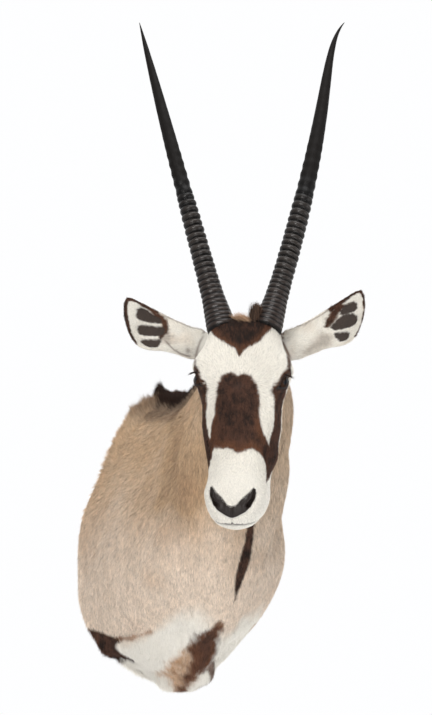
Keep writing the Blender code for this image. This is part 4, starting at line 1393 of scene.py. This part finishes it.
def makeHorn(name, form, seed, material):
    shape = hornShape
    length = np.linalg.norm(np.subtract(form[1], form[0]))
    # steps are closer together over the rings than on the smooth point
    share = np.concatenate([
        np.linspace(-shape["plug"] / length, 0.43, int(shape["steps"] * 0.72), endpoint=False),
        np.linspace(0.43, 1, int(shape["steps"] * 0.28)),
    ])
    centres = hornPlace(form, share)
    ways = unit(hornPlace(form, share + 0.002) - hornPlace(form, share - 0.002))
    first = unit(np.cross(ways, (0, 1.0, 0)))
    second = np.cross(ways, first)
    angle = np.linspace(0, 2 * math.pi, shape["around"], endpoint=False)
    out = first[:, None] * np.cos(angle)[:, None] + second[:, None] * np.sin(angle)[:, None]
    travel = share[:, None] * length
    front = -out[:, :, 1]  # towards the viewer of the face
    inner = out[:, :, 0] * (1 if name == "right_horn" else -1)
    # rings sag a little to the front and differ in pitch and height
    count = shape["rings"]
    pitch = np.linspace(*shape["pitch"], count)
    random = np.random.default_rng(seed)
    pitch = pitch * random.uniform(0.88, 1.12, count)
    pitch = pitch * (np.linspace(*shape["pitch"], count).sum() / pitch.sum())
    bounds = shape["ringStart"] + np.concatenate([[0], np.cumsum(pitch)])
    wavy = travel + front * 0.0016 + grain(out.reshape(-1, 3) * 0.02 + centres.repeat(len(angle), 0), 0.012, seed).reshape(travel.shape[0], -1) * 0.0009
    at = np.interp(wavy, bounds, np.arange(count + 1))
    part = at - np.floor(at)
    crest = np.clip(np.sin(math.pi * part), 0, 1) ** 0.7
    ringed = (wavy > bounds[0]) & (wavy < bounds[-1])
    tall = random.uniform(0.75, 1.15, count + 2)[np.clip(at.astype(int), 0, count)]
    grow = ease(0.0, 0.16, share)[:, None] * 0.55 + 0.45
    grow = grow * (1 - 0.55 * ease(0.30, 0.43, share)[:, None])
    fade = 1 - 0.45 * ease(0.2, 0.9, inner) * ease(0.22, 0.06, share)[:, None]
    knuckle = 1 + 0.60 * ease(0.3, 1.0, front) * ease(0.06, 0.2, share)[:, None]
    relief = shape["relief"] * tall * grow * fade * knuckle
    swell = np.where(ringed, (crest - 0.62) * relief, 0.0)
    # the rings die out in soft waves along the plain part
    wave = np.sin((wavy - bounds[-1]) / shape["pitch"][1] * 4.4) * ease(0.74, 0.42, share)[:, None] ** 2
    swell = swell + np.where(wavy > bounds[-1], wave * 0.0007 - 0.0003, 0)
    stout = 1 + (shape["thickness"][name] - 1) * ease(0.10, 0.42, share)
    radius = (np.interp(share, *np.array(shape["radii"]).T) * stout)[:, None]
    spots = centres[:, None] + out * radius[:, :, None]
    flat = spots.reshape(-1, 3)
    ridges = grain(np.column_stack([np.tile(angle, len(share)) * 0.9, np.zeros(len(flat)), flat[:, 2] * 0.6]), 0.11, seed + 5)
    lumps = grain(flat, 0.006, seed + 6)
    fine = (ridges * 0.00016 + lumps * 0.00016).reshape(swell.shape) * ease(1.0, 0.8, share)[:, None]
    radius = radius + swell + fine
    rings = centres[:, None] + out * radius[:, :, None]
    obj = loft(name + "_keratin", rings)
    # the crests' lighter tone fades up the horn and is kept only where they face the front, as painted highlight on the
    # knuckles
    crest = crest * (1 - 0.6 * ease(0.26, 0.42, share)[:, None])
    crest = np.where(ringed, crest * ease(-0.3, 0.6, front + 0.3 * crest), 0)
    ends = [0, 0]
    columns = (
        np.concatenate([crest.ravel(), ends]),
        np.concatenate([np.repeat(np.clip(share, 0, 1), len(angle)), [0, 1]]),
        np.concatenate([np.clip(lumps * 0.5 + 0.5, 0, 1), ends]),
        np.concatenate([inner.ravel(), ends]),
    )
    setColours(obj.data, "ring", columns)
    return show(obj, material, [name])


keratin = hornMaterial()
makeHorn("right_horn", horns["right_horn"], 51, keratin)
makeHorn("left_horn", horns["left_horn"], 57, keratin)


# Eyes and lashes

def eyeMaterial():
    # glass over a painted back: look holds iris, pupil and rim
    paint = Paint("glassEye")
    iris, pupil, rim, spoke = paint.split("look")
    fibre = paint.noise((1, 1, 1), 900.0, 3.0)
    tone = paint.blend(iris, colour(20, 14, 12), colour(40, 26, 18))
    tone = paint.blend((fibre - 0.4) * iris * 0.6 + spoke * iris * 0.12, tone, colour(84, 54, 32))
    tone = paint.blend(rim, tone, colour(18, 12, 10))
    tone = paint.blend(pupil, tone, colour(8, 8, 12))
    return paint.finish({
        "Base Color": tone, "Roughness": paint.span(fibre, 0.2, 0.8, 0.08, 0.16),
        "Coat Weight": 0.05, "Coat Roughness": 0.05, "IOR": 1.33, "Specular IOR Level": 0.16,
    })


def makeEye(name, side, material):
    centre, gaze, long, up = eyeFrame(side)
    mesh = bpy.data.meshes.new(name + "_glass")
    shape = bmesh.new()
    bmesh.ops.create_uvsphere(shape, u_segments=72, v_segments=48, radius=1)
    shape.to_mesh(mesh)
    shape.free()
    ball = pointsOf(mesh)
    facing = ball[:, 2]
    radius = eye["radius"] - 0.0002 + 0.0011 * ease(0.62, 0.95, facing)
    off = np.degrees(np.arccos(np.clip(facing, -1, 1)))
    turn = np.arctan2(ball[:, 1], ball[:, 0])
    places = centre + (
        ball[:, :1] * long + ball[:, 1:2] * up + ball[:, 2:] * gaze
    ) * radius[:, None]
    setPoints(mesh, fromHead(places))
    mesh.shade_smooth()
    shape = bmesh.new()
    shape.from_mesh(mesh)
    bmesh.ops.recalc_face_normals(shape, faces=shape.faces)
    shape.to_mesh(mesh)
    shape.free()
    slot = np.maximum(np.abs(ball[:, 0]) / 0.36, np.abs(ball[:, 1]) / 0.20)
    columns = (ease(47, 43, off), ease(1.05, 0.95, slot) * (facing > 0), ease(41, 45, off) * ease(52, 48, off), np.sin(turn * 40) * 0.5 + 0.5)
    setColours(mesh, "look", columns)
    return show(makeObject(name + "_glass", mesh), material, [name])


def makeLashes(name, side, seed):
    # a stiff, drooping spike at the back of the upper lid, and short lashes along it
    random = np.random.default_rng(seed)
    count = 110
    spike = np.arange(count) < 60
    centre, gaze, long, up = eyeFrame(side)
    x = np.where(spike, random.uniform(-0.84, -0.50, count), random.uniform(-0.80, 0.45, count))
    y = eye["upperOpen"] * (1 - (x / eye["halfLength"]) ** 2) + np.where(spike, 0.26, 0.05)
    ball = unit(x[:, None] * long + y[:, None] * up + np.sqrt(np.clip(1 - x**2 - y**2, 0.02, 1))[:, None] * gaze)
    roots = fromHead(centre + ball * (eye["radius"] + 0.0022))
    outward = ball @ headFrame
    lean = np.where(spike[:, None], (side * 0.92, 0.34, 0.10), ball * 0.9 + (side * 0.5, 0.10, 0)) @ headFrame

    def coatFor(seen):
        return 1.0, 0.0, 0.0, 1.0, 0.0

    lengths, lifts = np.where(spike, 0.0210, 0.0050), np.where(spike, 12.0, 35.0)
    makeHair(name, roots, outward, unit(lean), lengths, 0.0015, lifts, coatFor, seed, black=0.9)


glass = eyeMaterial()
for eyeName, eyeSide in (("right", -1), ("left", 1)):
    makeEye(eyeName + "_eye", eyeSide, glass)
    makeLashes(eyeName + "_lashes", eyeSide, 70 + eyeSide)


# Board and hanger keep their solids and get their finish here

def plywood():
    paint = Paint("plywood")
    place = paint.place()
    axis = paint.node("SeparateXYZ", {}, {0: place}, 1)
    layer = paint.node("Math", {"operation": "SINE"}, {0: axis * 2200.0})
    fibre = paint.noise((1, 1, 0.08), 130.0, 5.0, 0.6)
    broad = paint.noise((1, 1, 0.15), 16.0, 3.0)
    face = paint.node(
        "ValToRGB",
        {"stops": ((0.30, colour(176, 134, 88)), (0.52, colour(206, 170, 122)), (0.72, colour(224, 192, 148)))},
        {0: broad * 0.6 + fibre * 0.4},
    )
    dim = paint.span(layer, -0.2, 0.2, 0.0, 0.42)
    tone = paint.blend(dim, face, colour(128, 88, 54))
    return paint.finish({
        "Base Color": tone, "Roughness": paint.span(fibre, 0.3, 0.7, 0.62, 0.82),
        "Normal": paint.bump(fibre, 0.4, 0.0005),
    })


def zinc():
    paint = Paint("zincSteel")
    cloud = paint.noise((1, 1, 1), 90.0, 4.0)
    scratch = paint.noise((1, 1, 0.04), 900.0, 3.0)
    tone = paint.blend(cloud, colour(170, 172, 168), colour(206, 204, 192))
    return paint.finish({
        "Base Color": tone, "Metallic": 1.0,
        "Roughness": paint.span(scratch * 0.6 + cloud * 0.4, 0.3, 0.7, 0.24, 0.46),
        "Normal": paint.bump(scratch, 0.12, 0.0002),
    })


carried = {
    "back_board": plywood(),
    "hanger_plate": zinc(),
}
carried["upper_hanger_screw"] = carried["lower_hanger_screw"] = carried["hanger_plate"]
for nodeName, finish in carried.items():
    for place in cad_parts[nodeName].material_slots:
        place.material = finish


# Floor, light and camera

stage = {
    "floorHeight": -1.05,
    "floorReach": 2.3,
    "skyBehind": (0.99, 0.993, 1.0),
    "skyAhead": (0.47, 0.47, 0.475),
    # place, size, power and colour of each soft light, all aimed at the middle of the mount
    "lights": {
        "key": ((-2.3, -3.2, 2.3), 1.9, 106.0, (1.0, 0.985, 0.965)),
        "fill": ((2.4, -2.8, 0.4), 2.4, 36.0, (0.97, 0.985, 1.0)),
        "low": ((-0.9, -2.6, -0.9), 1.6, 24.0, (1.0, 0.99, 0.97)),
        "top": ((0.2, -0.8, 3.0), 2.0, 34.0, (1.0, 1.0, 1.0)),
    },
    "aim": (0.0, -0.25, 0.15),
    "cameraPlace": (-1.1076, -3.0039, 0.378),
    "cameraTurn": -22.0,
    "lens": 77.84,
}


def makeStage():
    mesh = bpy.data.meshes.new("floor")
    shape = bmesh.new()
    bmesh.ops.create_circle(shape, cap_ends=True, segments=96, radius=stage["floorReach"])
    shape.to_mesh(mesh)
    shape.free()
    floor = makeObject("floor", mesh)
    floor.location.z = stage["floorHeight"]
    paint = Paint("paleFloor")
    speck = paint.noise((1, 1, 1), 3.0)
    mesh.materials.append(paint.finish({
        "Base Color": paint.blend(speck, (0.86, 0.865, 0.88), (0.90, 0.905, 0.915)), "Roughness": 0.9,
    }))
    world = bpy.data.worlds.new("pale")
    world.use_nodes = True
    tree = world.node_tree
    # white behind the mount, and greyer towards the lights
    place = tree.nodes.new("ShaderNodeTexCoord")
    facing = tree.nodes.new("ShaderNodeVectorMath")
    facing.operation = "DOT_PRODUCT"
    facing.inputs[1].default_value = (0.3746, 0.9272, 0)
    share = tree.nodes.new("ShaderNodeMapRange")
    share.interpolation_type = "SMOOTHSTEP"
    share.inputs["From Min"].default_value = -0.2
    share.inputs["From Max"].default_value = 0.9
    mixer = tree.nodes.new("ShaderNodeMix")
    mixer.data_type = "RGBA"
    mixer.inputs[6].default_value = (*stage["skyAhead"], 1)
    mixer.inputs[7].default_value = (*stage["skyBehind"], 1)
    tree.links.new(place.outputs["Generated"], facing.inputs[0])
    tree.links.new(facing.outputs["Value"], share.inputs["Value"])
    tree.links.new(share.outputs[0], mixer.inputs[0])
    tree.links.new(mixer.outputs[2], tree.nodes["Background"].inputs["Color"])
    bpy.context.scene.world = world
    for name, (place, size, power, tint) in stage["lights"].items():
        data = bpy.data.lights.new(name, "AREA")
        data.size, data.energy, data.color = size, power, tint
        lamp = bpy.data.objects.new(name, data)
        lamp.location = place
        toward = Vector(stage["aim"]) - Vector(place)
        lamp.rotation_euler = toward.to_track_quat("-Z", "Y").to_euler()
        bpy.context.scene.collection.objects.link(lamp)
    data = bpy.data.cameras.new("camera")
    data.lens = stage["lens"]
    data.clip_end = 60
    camera = bpy.data.objects.new("camera", data)
    camera.location = stage["cameraPlace"]
    camera.rotation_euler = (math.pi / 2, 0, math.radians(stage["cameraTurn"]))
    bpy.context.scene.collection.objects.link(camera)
    bpy.context.scene.camera = camera
    bpy.context.scene.view_settings.view_transform = "Standard"
    print("stage, lights and camera set")


makeStage()
